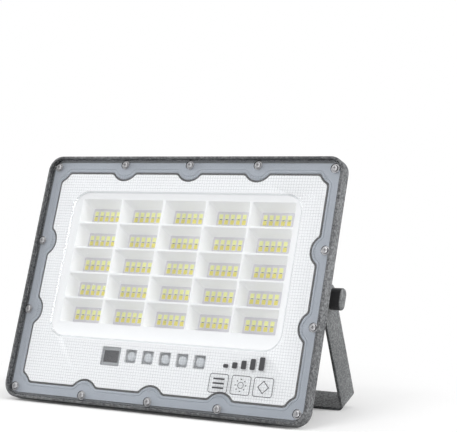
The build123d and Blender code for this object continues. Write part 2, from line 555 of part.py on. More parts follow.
cover_back = BODY_BACK - COVER_SEAL - COVER_T
with BuildPart() as rear_cover:
    with BuildSketch(HEAD.offset(BODY_BACK - COVER_SEAL)):
        RectangleRounded(COVER_W, COVER_H, COVER_R)
    extrude(amount=-COVER_T)
    with BuildSketch(HEAD.offset(cover_back)):
        RectangleRounded(BAY_W - 2 * COVER_PAD_INSET, BAY_H - 2 * COVER_PAD_INSET, BAY_R)
    extrude(amount=-COVER_PAD_T, taper=COVER_PAD_DRAFT)
    fillet(rear_cover.faces().sort_by(FACING)[0].edges(), COVER_EDGE)
    with Locations(HEAD.offset(cover_back)):
        with Locations(*[Location((u, v, 0), (180, 0, 0)) for u, v in cover_screws]):
            Hole(SCREW_CLEAR_R, COVER_T)
save(rear_cover, "rear_cover")

with BuildPart() as cover_screw_set:
    with BuildSketch(HEAD.offset(cover_back)):
        with Locations(*cover_screws):
            Circle(SCREW_HEAD_R)
    extrude(amount=-COVER_HEAD_T)
    fillet(cover_screw_set.faces().group_by(FACING)[0].edges(), COVER_HEAD_ROUND)
    with BuildSketch(HEAD.offset(cover_back)):
        with Locations(*cover_screws):
            Circle(SCREW_R)
    extrude(amount=COVER_SCREW_L)
save(cover_screw_set, "cover_screws")

# Cable port: a gland with its seal and dome nut, and a breather on the other side
flange_back = BODY_BACK - GLAND_FLANGE_T
with BuildPart() as gland_body:
    with BuildSketch(HEAD.offset(BODY_BACK)):
        with Locations((PORT_U, PORT_V)):
            Circle(GLAND_STEM_R)
            Circle(GLAND_BORE, mode=Mode.SUBTRACT)
    extrude(amount=GLAND_STEM_L)
    with BuildSketch(HEAD.offset(BODY_BACK)):
        with Locations((PORT_U, PORT_V)):
            RegularPolygon(GLAND_FLAT_R, 6, major_radius=False)
            Circle(GLAND_BORE, mode=Mode.SUBTRACT)
    extrude(amount=-GLAND_FLANGE_T)
    with BuildSketch(HEAD.offset(flange_back)):
        with Locations((PORT_U, PORT_V)):
            Circle(GLAND_THREAD_R)
            Circle(GLAND_THREAD_BORE, mode=Mode.SUBTRACT)
    extrude(amount=-GLAND_THREAD_L)
save(gland_body, "gland_body")

with BuildPart() as gland_seal:
    with BuildSketch(HEAD.offset(flange_back)):
        with Locations((PORT_U, PORT_V)):
            Circle(GLAND_SEAL_R)
            Circle(GLAND_SEAL_BORE, mode=Mode.SUBTRACT)
    extrude(amount=-GLAND_SEAL_L)
save(gland_seal, "gland_seal")

with BuildPart() as gland_nut:
    with BuildSketch(HEAD.offset(flange_back - NUT_GAP)):
        with Locations((PORT_U, PORT_V)):
            Circle(NUT_R)
            Circle(NUT_BORE, mode=Mode.SUBTRACT)
    extrude(amount=-NUT_L)
    with BuildSketch(HEAD.offset(flange_back - NUT_GAP - NUT_L)):
        with Locations((PORT_U, PORT_V)):
            Circle(NUT_R)
            Circle(NUT_DOME_BORE, mode=Mode.SUBTRACT)
    extrude(amount=-NUT_DOME_L, taper=NUT_DOME_DRAFT)
save(gland_nut, "gland_nut")

with BuildPart() as breather:
    with BuildSketch(HEAD.offset(BODY_BACK)):
        with Locations((-PORT_U, PORT_V)):
            Circle(BREATHER_R)
    extrude(amount=-BREATHER_T)
    fillet(breather.faces().sort_by(FACING)[0].edges(), BREATHER_EDGE)
    with BuildSketch(HEAD.offset(BODY_BACK)):
        with Locations((-PORT_U, PORT_V)):
            Circle(BREATHER_STEM_R)
    extrude(amount=BREATHER_STEM_L)
save(breather, "breather")

# Bracket: one strip bent into a U, its arms ending round at the pivots
with BuildPart() as bracket:
    with BuildSketch(U_SHAPE) as u_profile:
        with Locations((0, -reach)):
            Rectangle(2 * ARM_X, reach + STRIP_W, align=(Align.CENTER, Align.MIN))
        fillet(u_profile.vertices().group_by(Axis.Y)[0], BEND_R)
        with BuildSketch(mode=Mode.PRIVATE) as u_inside:
            with Locations((0, STRIP_T - reach)):
                Rectangle(2 * (ARM_X - STRIP_T), reach + 2 * STRIP_W, align=(Align.CENTER, Align.MIN))
            fillet(u_inside.vertices().group_by(Axis.Y)[0], BEND_R - STRIP_T)
        add(u_inside.sketch_local, mode=Mode.SUBTRACT)
    extrude(amount=STRIP_W / 2, both=True)
    with BuildSketch(PROFILE) as arm_side:
        with Locations((0, ARM_END)):
            Rectangle(STRIP_W, reach + ARM_END + 1, align=(Align.CENTER, Align.MAX))
        fillet(arm_side.vertices().group_by(Axis.Y)[-1], ARM_END_R)
    extrude(amount=ARM_X + 1, both=True, mode=Mode.INTERSECT)
    with BuildSketch(PROFILE):
        Circle(STUD_R + STUD_CLEARANCE)
    extrude(amount=ARM_X + 1, both=True, mode=Mode.SUBTRACT)
    foot_edges = bracket.edges().filter_by(Axis.X).group_by(SortBy.LENGTH)[-1]
    fillet(foot_edges, STRIP_EDGE)
    with BuildSketch(FOOT):
        Circle(FOOT_HOLE_R)
        with Locations((-SIDE_HOLE_X, 0), (SIDE_HOLE_X, 0)):
            Circle(SIDE_HOLE_R)
    extrude(amount=-STRIP_T - 1, mode=Mode.SUBTRACT)
save(bracket, "bracket")

# Pivot hardware, alike on both sides and fixed to the housing: the arms turn on the studs
knob_start = ARM_X + SIDE_PLAY + 2 * WASHER_T
pivot_rings = {
    "friction_washers": (BOSS_FACE, ARM_X - STRIP_T - SIDE_PLAY, BOSS_R),
    "pivot_washers": (ARM_X + SIDE_PLAY, ARM_X + SIDE_PLAY + WASHER_T, WASHER_R),
    "lock_washers": (ARM_X + SIDE_PLAY + WASHER_T, knob_start, 0.8 * WASHER_R),
}
for name, (start, end, radius) in pivot_rings.items():
    with BuildPart() as ring:
        for plane in sides.values():
            with BuildSketch(plane.offset(start)):
                Circle(radius)
                Circle(STUD_R + STUD_FIT, mode=Mode.SUBTRACT)
            extrude(amount=end - start)
    save(ring, name)

stud_start = BOSS_FACE - STUD_DEPTH + STUD_TIP_GAP
with BuildPart() as pivot_studs:
    for plane in sides.values():
        with BuildSketch(plane.offset(stud_start)):
            Circle(STUD_R)
        extrude(amount=STUD_END - stud_start)
save(pivot_studs, "pivot_studs")

# Oval thumb nuts, their long way up the face
with BuildPart() as tilt_knobs:
    for side in (1, -1):
        knob_plane = Plane(
            origin=(side * knob_start, pivot_y, pivot_z),
            x_dir=(0, sin(lean), cos(lean)),
            z_dir=(side, 0, 0),
        )
        with BuildSketch(knob_plane):
            SlotOverall(KNOB_H, KNOB_W)
        extrude(amount=KNOB_END - knob_start)
        fillet(tilt_knobs.faces().sort_by(Axis.X)[-1 if side > 0 else 0].edges(), KNOB_EDGE)
        with BuildSketch(knob_plane):
            Circle(STUD_R + STUD_FIT)
        extrude(amount=STUD_END - knob_start + KNOB_TIP_GAP, mode=Mode.SUBTRACT)
save(tilt_knobs, "tilt_knobs")
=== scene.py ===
"""Finishes and fine detail of a solar flood light, laid over its packed construction.

Sizes are in metres in the light's own frame: +Z is up, +X is the lamp's right and the face looks
towards -Y. Places on the lamp head use its own axes: u to the right, v up the face, n out of it.
"""

import logging
import math
from collections.abc import Callable, Iterable
from dataclasses import dataclass
from enum import Enum

import bmesh
import bpy
from mathutils import Matrix, Vector

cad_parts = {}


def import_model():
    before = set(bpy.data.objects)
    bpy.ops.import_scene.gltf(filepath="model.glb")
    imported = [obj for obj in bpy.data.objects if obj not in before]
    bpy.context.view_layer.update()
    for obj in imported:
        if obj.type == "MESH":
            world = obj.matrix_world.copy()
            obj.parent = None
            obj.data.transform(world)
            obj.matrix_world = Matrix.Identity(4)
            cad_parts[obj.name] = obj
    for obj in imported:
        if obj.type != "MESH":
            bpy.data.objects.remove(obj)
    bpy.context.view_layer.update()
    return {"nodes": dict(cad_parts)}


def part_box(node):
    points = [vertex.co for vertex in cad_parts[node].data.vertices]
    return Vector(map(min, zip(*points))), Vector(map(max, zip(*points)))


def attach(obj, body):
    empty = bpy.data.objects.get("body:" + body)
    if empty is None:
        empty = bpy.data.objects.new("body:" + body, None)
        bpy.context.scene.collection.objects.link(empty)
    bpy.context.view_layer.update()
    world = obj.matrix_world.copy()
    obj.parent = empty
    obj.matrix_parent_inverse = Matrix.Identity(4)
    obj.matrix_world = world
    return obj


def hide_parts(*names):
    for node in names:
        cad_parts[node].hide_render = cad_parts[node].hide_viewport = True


MM = 0.001
HEAD = "head"
BRACKET = "bracket"
LOG = logging.getLogger("flood_light")

Colour = tuple[float, float, float]
Point2 = tuple[float, float]
Point3 = tuple[float, float, float]

WHITE_LIGHT = (1.0, 1.0, 1.0, 1.0)

# the Mix node's colour sockets have no names of their own, so they are found by number
MIX_SHARE = 0
MIX_FIRST = 6
MIX_SECOND = 7
MIX_RESULT = 2


class Slot(Enum):
    """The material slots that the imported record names."""

    HOUSING = "housing_grey"
    BRACKET = "bracket_grey"
    LENS = "clear_lens"
    SEAL = "seal_grey"
    WHITE = "white_moulding"
    BOARD = "board_grey"
    CONTROL = "control_grey"
    COOL = "phosphor_cool"
    WARM = "phosphor_warm"
    PANE = "dark_pane"
    BEZEL = "bezel_grey"
    LAMP = "lamp_clear"
    BLACK = "black_plastic"
    RUBBER = "black_rubber"
    PAD = "pad_grey"
    CELL = "cell_blue"
    HOLDER = "holder_black"
    STEEL = "bright_steel"
    NYLON = "nylon_white"


# ---------------------------------------------------------------- node trees


class Graph:
    """A short hand for laying and joining nodes in one tree."""

    def __init__(self, tree: bpy.types.NodeTree) -> None:
        """Start with an empty tree.

        Args:
            tree: the tree to fill.
        """
        self.tree = tree
        tree.nodes.clear()

    def add(self, kind: str, inputs: dict | None = None, **settings: object) -> bpy.types.Node:
        """Lay one node.

        Args:
            kind: the node's type name.
            inputs: socket name or number to a plain value or another node's output.
            **settings: the node's own properties.

        Returns:
            The new node.
        """
        node = self.tree.nodes.new(kind)
        for key, value in settings.items():
            setattr(node, key, value)
        for key, value in (inputs or {}).items():
            if isinstance(value, bpy.types.NodeSocket):
                self.tree.links.new(value, node.inputs[key])
            else:
                node.inputs[key].default_value = value
        return node

    def math(self, operation: str, *values: object) -> bpy.types.NodeSocket:
        """One sum on one to three numbers.

        Args:
            operation: the Math node's operation.
            *values: plain numbers or outputs.

        Returns:
            The result's socket.
        """
        return self.add("ShaderNodeMath", dict(enumerate(values)), operation=operation).outputs[0]

    def ramp(
        self, value: object, low: float, high: float, to: Point2 = (0.0, 1.0)
    ) -> bpy.types.NodeSocket:
        """Stretch a range of values to another, clamped.

        Args:
            value: the output to stretch.
            low: the value that becomes the first of to.
            high: the value that becomes the second of to.
            to: the new range.

        Returns:
            The result's socket.
        """
        inputs = {"Value": value, "From Min": low, "From Max": high, "To Min": to[0], "To Max": to[1]}
        return self.add("ShaderNodeMapRange", inputs).outputs["Result"]

    def blend(self, share: object, first: object, second: object) -> bpy.types.NodeSocket:
        """Mix two colours.

        Args:
            share: how much of the second shows, 0 to 1.
            first: a colour or an output.
            second: a colour or an output.

        Returns:
            The mixed colour's socket.
        """
        node = self.add("ShaderNodeMix", data_type="RGBA")
        for key, value in ((MIX_SHARE, share), (MIX_FIRST, first), (MIX_SECOND, second)):
            if isinstance(value, bpy.types.NodeSocket):
                self.tree.links.new(value, node.inputs[key])
            elif key == MIX_SHARE:
                node.inputs[key].default_value = value
            else:
                node.inputs[key].default_value = (*value, 1.0)
        return node.outputs[MIX_RESULT]

    def noise(self, scale: object, detail: float) -> bpy.types.NodeSocket:
        """Even noise fixed to the piece.

        Args:
            scale: lumps per metre, as a number or an output.
            detail: octaves of finer noise.

        Returns:
            The noise value's socket.
        """
        place = self.add("ShaderNodeTexCoord").outputs["Object"]
        node = self.add("ShaderNodeTexNoise", {"Vector": place, "Scale": scale, "Detail": detail})
        return node.outputs["Fac"]

    def seen(self) -> bpy.types.NodeSocket:
        """Tell the rays that show what they meet from those that only carry light.

        Returns:
            The socket that is 1 for a camera, glossy or transmission ray and 0 for the rest.
        """
        path = self.add("ShaderNodeLightPath")
        found = path.outputs["Is Camera Ray"]
        for name in ("Is Glossy Ray", "Is Transmission Ray"):
            found = self.math("MAXIMUM", found, path.outputs[name])
        return found


class Effects:
    """Shared effects, each a node group that is built once.

    A span is the part of a value's range that is stretched out to the full range.
    """

    FINER = 2.7
    COARSE_SHARE = 0.65
    FINE_SHARE = 0.35
    GRAIN_SPAN = (0.40, 0.60)
    DRIFT_SPAN = (0.35, 0.65)
    EDGE_SPAN = (0.995, 0.90)
    PATCH_SCALE = 140.0
    PATCH_SPAN = (0.35, 0.6)
    PATCH_SHARE = (0.35, 1.0)
    GLOSS_SPAN = (0.3, 0.7)
    LEAST_ROUGHNESS = 0.02

    def __init__(self) -> None:
        """Start with no groups made."""
        self.made: dict[str, bpy.types.NodeTree] = {}

    def group(
        self,
        name: str,
        sockets: dict[str, tuple[str, object]],
        outputs: dict[str, str],
        fill: Callable[[Graph, bpy.types.Node], dict[str, bpy.types.NodeSocket]],
    ) -> bpy.types.NodeTree:
        """Make a group the first time it is asked for.

        Args:
            name: the group's name.
            sockets: input name to its type and default value.
            outputs: output name to its type.
            fill: lays the inner nodes and returns a socket for each output.

        Returns:
            The group's tree.
        """
        if name in self.made:
            return self.made[name]
        tree = bpy.data.node_groups.new(name, "ShaderNodeTree")
        graph = Graph(tree)
        for key, (kind, value) in sockets.items():
            socket = tree.interface.new_socket(name=key, in_out="INPUT", socket_type=kind)
            socket.default_value = value
        for key, kind in outputs.items():
            tree.interface.new_socket(name=key, in_out="OUTPUT", socket_type=kind)
        entry = graph.add("NodeGroupInput")
        leave = graph.add("NodeGroupOutput")
        for key, socket in fill(graph, entry).items():
            tree.links.new(socket, leave.inputs[key])
        self.made[name] = tree
        return tree

    def coat_grain(self) -> bpy.types.NodeTree:
        """Sand-like grain of a powder coat or a moulded skin: a height and a light and dark mask.

        Returns:
            The group's tree.
        """

        def fill(g: Graph, entry: bpy.types.Node) -> dict[str, bpy.types.NodeSocket]:
            """Lay coarse and fine lumps over each other.

            Args:
                g: the group's nodes.
                entry: the group's input node.

            Returns:
                The socket for each output.
            """
            coarse = g.noise(entry.outputs["Scale"], detail=2.0)
            finer = g.math("MULTIPLY", entry.outputs["Scale"], self.FINER)
            fine = g.noise(finer, detail=1.0)
            coarse_part = g.math("MULTIPLY", coarse, self.COARSE_SHARE)
            fine_part = g.math("MULTIPLY", fine, self.FINE_SHARE)
            height = g.math("ADD", coarse_part, fine_part)
            return {"Height": height, "Mask": g.ramp(height, *self.GRAIN_SPAN)}

        return self.group(
            "coat_grain",
            {"Scale": ("NodeSocketFloat", 900.0)},
            {"Height": "NodeSocketFloat", "Mask": "NodeSocketFloat"},
            fill,
        )

    def tone_drift(self) -> bpy.types.NodeTree:
        """Slow change between two close tones, broken up by the grain mask.

        Returns:
            The group's tree.
        """

        def fill(g: Graph, entry: bpy.types.Node) -> dict[str, bpy.types.NodeSocket]:
            """Mix the tones by a broad noise and the grain together.

            Args:
                g: the group's nodes.
                entry: the group's input node.

            Returns:
                The socket for each output.
            """
            broad = g.ramp(g.noise(entry.outputs["Scale"], detail=4.0), *self.DRIFT_SPAN)
            share = g.math("MULTIPLY", entry.outputs["Grain"], entry.outputs["Grain Share"])
            both = g.math("ADD", g.math("MULTIPLY", broad, entry.outputs["Drift Share"]), share)
            both = g.math("MINIMUM", both, 1.0)
            return {"Color": g.blend(both, entry.outputs["Tone"], entry.outputs["Other Tone"])}

        return self.group(
            "tone_drift",
            {
                "Tone": ("NodeSocketColor", (0.5, 0.5, 0.5, 1.0)),
                "Other Tone": ("NodeSocketColor", (0.4, 0.4, 0.4, 1.0)),
                "Scale": ("NodeSocketFloat", 12.0),
                "Drift Share": ("NodeSocketFloat", 0.4),
                "Grain": ("NodeSocketFloat", 0.0),
                "Grain Share": ("NodeSocketFloat", 0.5),
            },
            {"Color": "NodeSocketColor"},
            fill,
        )

    def edge_wear(self) -> bpy.types.NodeTree:
        """A mask that is bright on sharp edges, broken by noise, where a coat rubs thin.

        Returns:
            The group's tree.
        """

        def fill(g: Graph, entry: bpy.types.Node) -> dict[str, bpy.types.NodeSocket]:
            """Compare the rounded normal with the flat one.

            Args:
                g: the group's nodes.
                entry: the group's input node.

            Returns:
                The socket for each output.
            """
            rounded = g.add("ShaderNodeBevel", {"Radius": entry.outputs["Radius"]}, samples=4)
            flat = g.add("ShaderNodeNewGeometry").outputs["Normal"]
            dot = g.add(
                "ShaderNodeVectorMath", {0: rounded.outputs[0], 1: flat}, operation="DOT_PRODUCT"
            ).outputs["Value"]
            edge = g.ramp(dot, *self.EDGE_SPAN)
            patch = g.noise(self.PATCH_SCALE, detail=3.0)
            patch = g.ramp(patch, *self.PATCH_SPAN, self.PATCH_SHARE)
            mask = g.math("MULTIPLY", g.math("MULTIPLY", edge, patch), entry.outputs["Amount"])
            return {"Mask": mask}

        return self.group(
            "edge_wear",
            {"Radius": ("NodeSocketFloat", 0.0006), "Amount": ("NodeSocketFloat", 0.5)},
            {"Mask": "NodeSocketFloat"},
            fill,
        )

    def uneven_gloss(self) -> bpy.types.NodeTree:
        """Roughness that drifts round a middle value, as handling leaves it.

        Returns:
            The group's tree.
        """

        def fill(g: Graph, entry: bpy.types.Node) -> dict[str, bpy.types.NodeSocket]:
            """Swing the roughness by a broad noise.

            Args:
                g: the group's nodes.
                entry: the group's input node.

            Returns:
                The socket for each output.
            """
            swing = g.noise(entry.outputs["Scale"], detail=5.0)
            swing = g.ramp(swing, *self.GLOSS_SPAN, (-1.0, 1.0))
            value = g.math("MULTIPLY_ADD", swing, entry.outputs["Swing"], entry.outputs["Middle"])
            value = g.math("MAXIMUM", value, self.LEAST_ROUGHNESS)
            return {"Roughness": g.math("MINIMUM", value, 1.0)}

        return self.group(
            "uneven_gloss",
            {
                "Middle": ("NodeSocketFloat", 0.5),
                "Swing": ("NodeSocketFloat", 0.08),
                "Scale": ("NodeSocketFloat", 60.0),
            },
            {"Roughness": "NodeSocketFloat"},
            fill,
        )


# ---------------------------------------------------------------- finishes


@dataclass(frozen=True)
class SolidFinish:
    """An opaque coated, moulded or metal surface.

    Attributes:
        name: the material's name.
        tone: the main colour.
        other: the colour that it drifts to.
        roughness: the middle roughness.
        swing: how far the roughness drifts.
        metallic: 1 for bare metal.
        grain: lumps per metre of the surface's texture.
        relief: the texture's height.
        grain_share: how much the texture shows as colour.
        wear: how much the edges rub through.
        worn: the colour under the rubbed edge.
        coat: a clear gloss over the colour.
        sheen: soft scatter of rubber and nylon.
    """

    name: str
    tone: Colour
    other: Colour
    roughness: float = 0.5
    swing: float = 0.06
    metallic: float = 0.0
    grain: float = 900.0
    relief: float = 0.03 * MM
    grain_share: float = 0.3
    wear: float = 0.0
    worn: Colour = (0.55, 0.55, 0.55)
    coat: float = 0.0
    sheen: float = 0.0

    def build(self, effects: Effects) -> bpy.types.Material:
        """Make the material.

        Args:
            effects: the shared node groups.

        Returns:
            The new material.
        """
        material = bpy.data.materials.new(self.name)
        material.use_nodes = True
        g = Graph(material.node_tree)
        grain = g.add("ShaderNodeGroup", {"Scale": self.grain}, node_tree=effects.coat_grain())
        tones = {
            "Tone": (*self.tone, 1.0),
            "Other Tone": (*self.other, 1.0),
            "Grain": grain.outputs["Mask"],
            "Grain Share": self.grain_share,
        }
        colour = g.add("ShaderNodeGroup", tones, node_tree=effects.tone_drift()).outputs["Color"]
        if self.wear:
            wear = g.add("ShaderNodeGroup", {"Amount": self.wear}, node_tree=effects.edge_wear())
            colour = g.blend(wear.outputs["Mask"], colour, self.worn)
        middle = {"Middle": self.roughness, "Swing": self.swing}
        gloss = g.add("ShaderNodeGroup", middle, node_tree=effects.uneven_gloss())
        bump = g.add("ShaderNodeBump", {"Height": grain.outputs["Height"], "Distance": self.relief})
        shader = g.add(
            "ShaderNodeBsdfPrincipled",
            {
                "Base Color": colour,
                "Roughness": gloss.outputs["Roughness"],
                "Normal": bump.outputs[0],
                "Metallic": self.metallic,
                "Coat Weight": self.coat,
                "Sheen Weight": self.sheen,
            },
        )
        g.add("ShaderNodeOutputMaterial", {"Surface": shader.outputs[0]})
        return material


PLAIN_CLEAR: Colour = (0.985, 0.99, 0.995)


@dataclass(frozen=True)
class ClearFinish:
    """A clear moulded plastic that lets the lamps' light through to what is behind it.

    Shadow and diffuse rays meet PLAIN_CLEAR in place of the tint, so what is behind isn't dulled twice.

    Attributes:
        name: the material's name.
        tint: the colour that the plastic gives.
        roughness: the middle roughness.
        swing: how far the roughness drifts.
        ior: index of refraction.
    """

    name: str
    tint: Colour
    roughness: float = 0.03
    swing: float = 0.02
    ior: float = 1.49

    def build(self, effects: Effects) -> bpy.types.Material:
        """Make the material.

        Args:
            effects: the shared node groups.

        Returns:
            The new material.
        """
        material = bpy.data.materials.new(self.name)
        material.use_nodes = True
        g = Graph(material.node_tree)
        middle = {"Middle": self.roughness, "Swing": self.swing}
        gloss = g.add("ShaderNodeGroup", middle, node_tree=effects.uneven_gloss())
        glass = g.add(
            "ShaderNodeBsdfPrincipled",
            {
                "Base Color": (*self.tint, 1.0),
                "Roughness": gloss.outputs["Roughness"],
                "IOR": self.ior,
                "Transmission Weight": 1.0,
            },
        )
        clear = g.add("ShaderNodeBsdfTransparent", {"Color": (*PLAIN_CLEAR, 1.0)})
        path = g.add("ShaderNodeLightPath")
        soft = g.math("MAXIMUM", path.outputs["Is Shadow Ray"], path.outputs["Is Diffuse Ray"])
        mix = g.add("ShaderNodeMixShader", {0: soft, 1: glass.outputs[0], 2: clear.outputs[0]})
        g.add("ShaderNodeOutputMaterial", {"Surface": mix.outputs[0]})
        return material


FINISHES: dict[Slot, SolidFinish | ClearFinish] = {
    Slot.HOUSING: SolidFinish(
        "sand_coat_grey", (0.225, 0.23, 0.235), (0.042, 0.044, 0.047), 0.55, 0.10, grain=560.0,
        relief=0.16 * MM, grain_share=0.9, wear=0.30, worn=(0.36, 0.365, 0.37),
    ),
    Slot.BRACKET: SolidFinish(
        "fine_coat_grey", (0.225, 0.232, 0.235), (0.05, 0.053, 0.055), 0.52, 0.10, grain=620.0,
        relief=0.12 * MM, grain_share=0.85, wear=0.3, worn=(0.36, 0.36, 0.365),
    ),
    Slot.LENS: ClearFinish("clear_lens_plastic", (0.945, 0.955, 0.965)),
    Slot.SEAL: SolidFinish(
        "seal_silicone", (0.36, 0.39, 0.44), (0.30, 0.33, 0.37), 0.34, 0.06, grain=700.0,
        relief=0.02 * MM, grain_share=0.15, sheen=0.2,
    ),
    Slot.WHITE: SolidFinish(
        "reflector_white", (0.96, 0.96, 0.96), (0.94, 0.945, 0.95), 0.42, 0.05, grain=1200.0,
        relief=0.01 * MM, grain_share=0.12,
    ),
    Slot.BOARD: SolidFinish(
        "board_white_mask", (0.68, 0.66, 0.70), (0.60, 0.58, 0.63), 0.45, 0.05, grain=1600.0,
        relief=0.008 * MM, grain_share=0.2,
    ),
    Slot.CONTROL: SolidFinish(
        "control_board_mask", (0.42, 0.43, 0.44), (0.36, 0.37, 0.38), 0.4, 0.05, grain=1600.0,
        relief=0.008 * MM, grain_share=0.2,
    ),
    Slot.COOL: SolidFinish(
        "phosphor_cool", (0.82, 0.83, 0.34), (0.77, 0.78, 0.25), 0.5, 0.05, grain=2500.0,
        relief=0.01 * MM, grain_share=0.3,
    ),
    Slot.WARM: SolidFinish(
        "phosphor_warm", (0.73, 0.66, 0.14), (0.67, 0.58, 0.08), 0.5, 0.05, grain=2500.0,
        relief=0.01 * MM, grain_share=0.3,
    ),
    Slot.PANE: SolidFinish(
        "sensor_dark_pane", (0.03, 0.03, 0.035), (0.045, 0.045, 0.05), 0.18, 0.05, grain=500.0,
        relief=0.003 * MM, grain_share=0.2, coat=0.4,
    ),
    Slot.BEZEL: SolidFinish(
        "bezel_grey_plastic", (0.34, 0.35, 0.36), (0.28, 0.29, 0.30), 0.5, 0.06, grain=1100.0,
        relief=0.02 * MM, grain_share=0.3,
    ),
    Slot.LAMP: SolidFinish(
        "indicator_milky", (0.62, 0.64, 0.66), (0.55, 0.57, 0.60), 0.16, 0.04, grain=600.0,
        relief=0.004 * MM, grain_share=0.15, coat=0.6,
    ),
    Slot.BLACK: SolidFinish(
        "black_moulded_plastic", (0.03, 0.03, 0.032), (0.045, 0.045, 0.047), 0.45, 0.08, grain=1300.0,
        relief=0.03 * MM, grain_share=0.4, wear=0.15, worn=(0.12, 0.12, 0.12),
    ),
    Slot.RUBBER: SolidFinish(
        "black_rubber", (0.025, 0.025, 0.026), (0.04, 0.04, 0.041), 0.7, 0.06, grain=1000.0,
        relief=0.02 * MM, grain_share=0.3, sheen=0.2,
    ),
    Slot.PAD: SolidFinish(
        "thermal_pad_grey", (0.42, 0.43, 0.47), (0.37, 0.38, 0.42), 0.75, 0.05, grain=900.0,
        relief=0.02 * MM, grain_share=0.3,
    ),
    Slot.CELL: SolidFinish(
        "cell_sleeve_blue", (0.06, 0.16, 0.38), (0.05, 0.13, 0.33), 0.3, 0.05, grain=400.0,
        relief=0.01 * MM, grain_share=0.2, coat=0.3,
    ),
    Slot.HOLDER: SolidFinish(
        "holder_black_plastic", (0.04, 0.04, 0.042), (0.055, 0.055, 0.057), 0.5, 0.06, grain=1100.0,
        relief=0.03 * MM, grain_share=0.4,
    ),
    Slot.STEEL: SolidFinish(
        "plated_steel", (0.42, 0.42, 0.43), (0.30, 0.30, 0.31), 0.36, 0.08, metallic=1.0, grain=1400.0,
        relief=0.008 * MM, grain_share=0.4,
    ),
    Slot.NYLON: SolidFinish(
        "nylon_white", (0.78, 0.78, 0.76), (0.72, 0.72, 0.70), 0.5, 0.05, grain=900.0,
        relief=0.01 * MM, grain_share=0.2, sheen=0.2,
    ),
}
PACKAGE_WHITE = SolidFinish(
    "led_package_white", (0.80, 0.80, 0.76), (0.72, 0.72, 0.68), 0.4, 0.04, grain=2500.0,
    relief=0.004 * MM, grain_share=0.15,
)
SOLDER = SolidFinish(
    "solder_tin", (0.12, 0.07, 0.035), (0.07, 0.04, 0.02), 0.45, 0.1, grain=3000.0,
    relief=0.02 * MM, grain_share=0.5,
)
# painted shade: a dark silicone tone for the shaded crevice where the seal steps down along the rim
SEAL_STEP_PAINTED_SHADE = SolidFinish(
    "seal_silicone_painted_shade", (0.11, 0.12, 0.135), (0.08, 0.088, 0.10), 0.45, 0.06, grain=700.0,
    relief=0.02 * MM, grain_share=0.15, sheen=0.2,
)
# painted shade: a grey tint on the flat strips round each small prism, for the shading that the prisms
# show
PRISM_GROOVE_SHADE = ClearFinish("lens_prism_groove_painted_shade", (0.64, 0.65, 0.67), 0.08, 0.03)
# painted shade: a darker tint on the sunk window's sloped edge, for the shade line along it
WINDOW_EDGE_SHADE = ClearFinish("lens_window_edge_painted_shade", (0.57, 0.58, 0.60), 0.06, 0.02)
WINDOW_PANE = ClearFinish("lens_window_pane", (0.965, 0.97, 0.975))
MARK_INK = SolidFinish(
    "mark_ink", (0.035, 0.035, 0.04), (0.05, 0.05, 0.055), 0.5, 0.05, grain=2500.0,
    relief=0.003 * MM, grain_share=0.4,
)


class Palette:
    """Makes each finish once and hands it out."""

    def __init__(self) -> None:
        """Start with the shared effects and no materials."""
        self.effects = Effects()
        self.made: dict[str, bpy.types.Material] = {}

    def get(self, finish: Slot | SolidFinish | ClearFinish) -> bpy.types.Material:
        """The material of a slot or a finish.

        Args:
            finish: a record slot, or a finish that has none.

        Returns:
            The material, made the first time.
        """
        recipe = FINISHES[finish] if isinstance(finish, Slot) else finish
        if recipe.name not in self.made:
            self.made[recipe.name] = recipe.build(self.effects)
        return self.made[recipe.name]


# ---------------------------------------------------------------- places and meshes

# points closer than this are one, in a mesh that is only read and in one that is rounded over
READ_WELD = 0.001 * MM
SOFT_WELD = 0.002 * MM
# the cosine above which a face looks straight out of the head
FACES_OUT = 0.999
# an inset corner reaches no further than 1 / LEAST_MITRE times the inset
LEAST_MITRE = 0.3
# faces that meet below FLAT_DEG are joined, edges above SHARP_DEG stay sharp and above ROUNDED_DEG
# are rounded over in ROUNDING_STEPS segments
FLAT_DEG = 0.6
SHARP_DEG = 32.0
ROUNDED_DEG = 38.0
ROUNDING_STEPS = 2


@dataclass(frozen=True)
class HeadFrame:
    """The lamp face's own axes.

    Attributes:
        centre: the middle of the lens's front, in the light's frame.
        lean: how far the face leans back from vertical, in radians.
    """

    centre: Vector
    lean: float

    # the depth halfway between the gasket's back and its front
    SEAL_MIDDLE = -3.025 * MM
    LEAN_DEG = 19.0

    @classmethod
    def from_frame(cls) -> "HeadFrame":
        """Read the face's place from the gasket, which is even about it.

        Returns:
            The face's frame.
        """
        low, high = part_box("gasket")
        lean = math.radians(cls.LEAN_DEG)
        out = Vector((0.0, -math.cos(lean), math.sin(lean)))
        return cls((low + high) / 2 - out * cls.SEAL_MIDDLE, lean)

    def matrix(self) -> Matrix:
        """Turn and move the face's axes to where the face stands.

        Returns:
            The matrix that carries (u, v, n) to the light's frame.
        """
        columns = (
            Vector((1.0, 0.0, 0.0)),
            Vector((0.0, math.sin(self.lean), math.cos(self.lean))),
            Vector((0.0, -math.cos(self.lean), math.sin(self.lean))),
        )
        turn = Matrix(columns).transposed().to_4x4()
        return Matrix.Translation(self.centre) @ turn

    def local(self, point: Vector) -> Vector:
        """A point of the light's frame as (u, v, n)."""
        return self.matrix().inverted() @ point


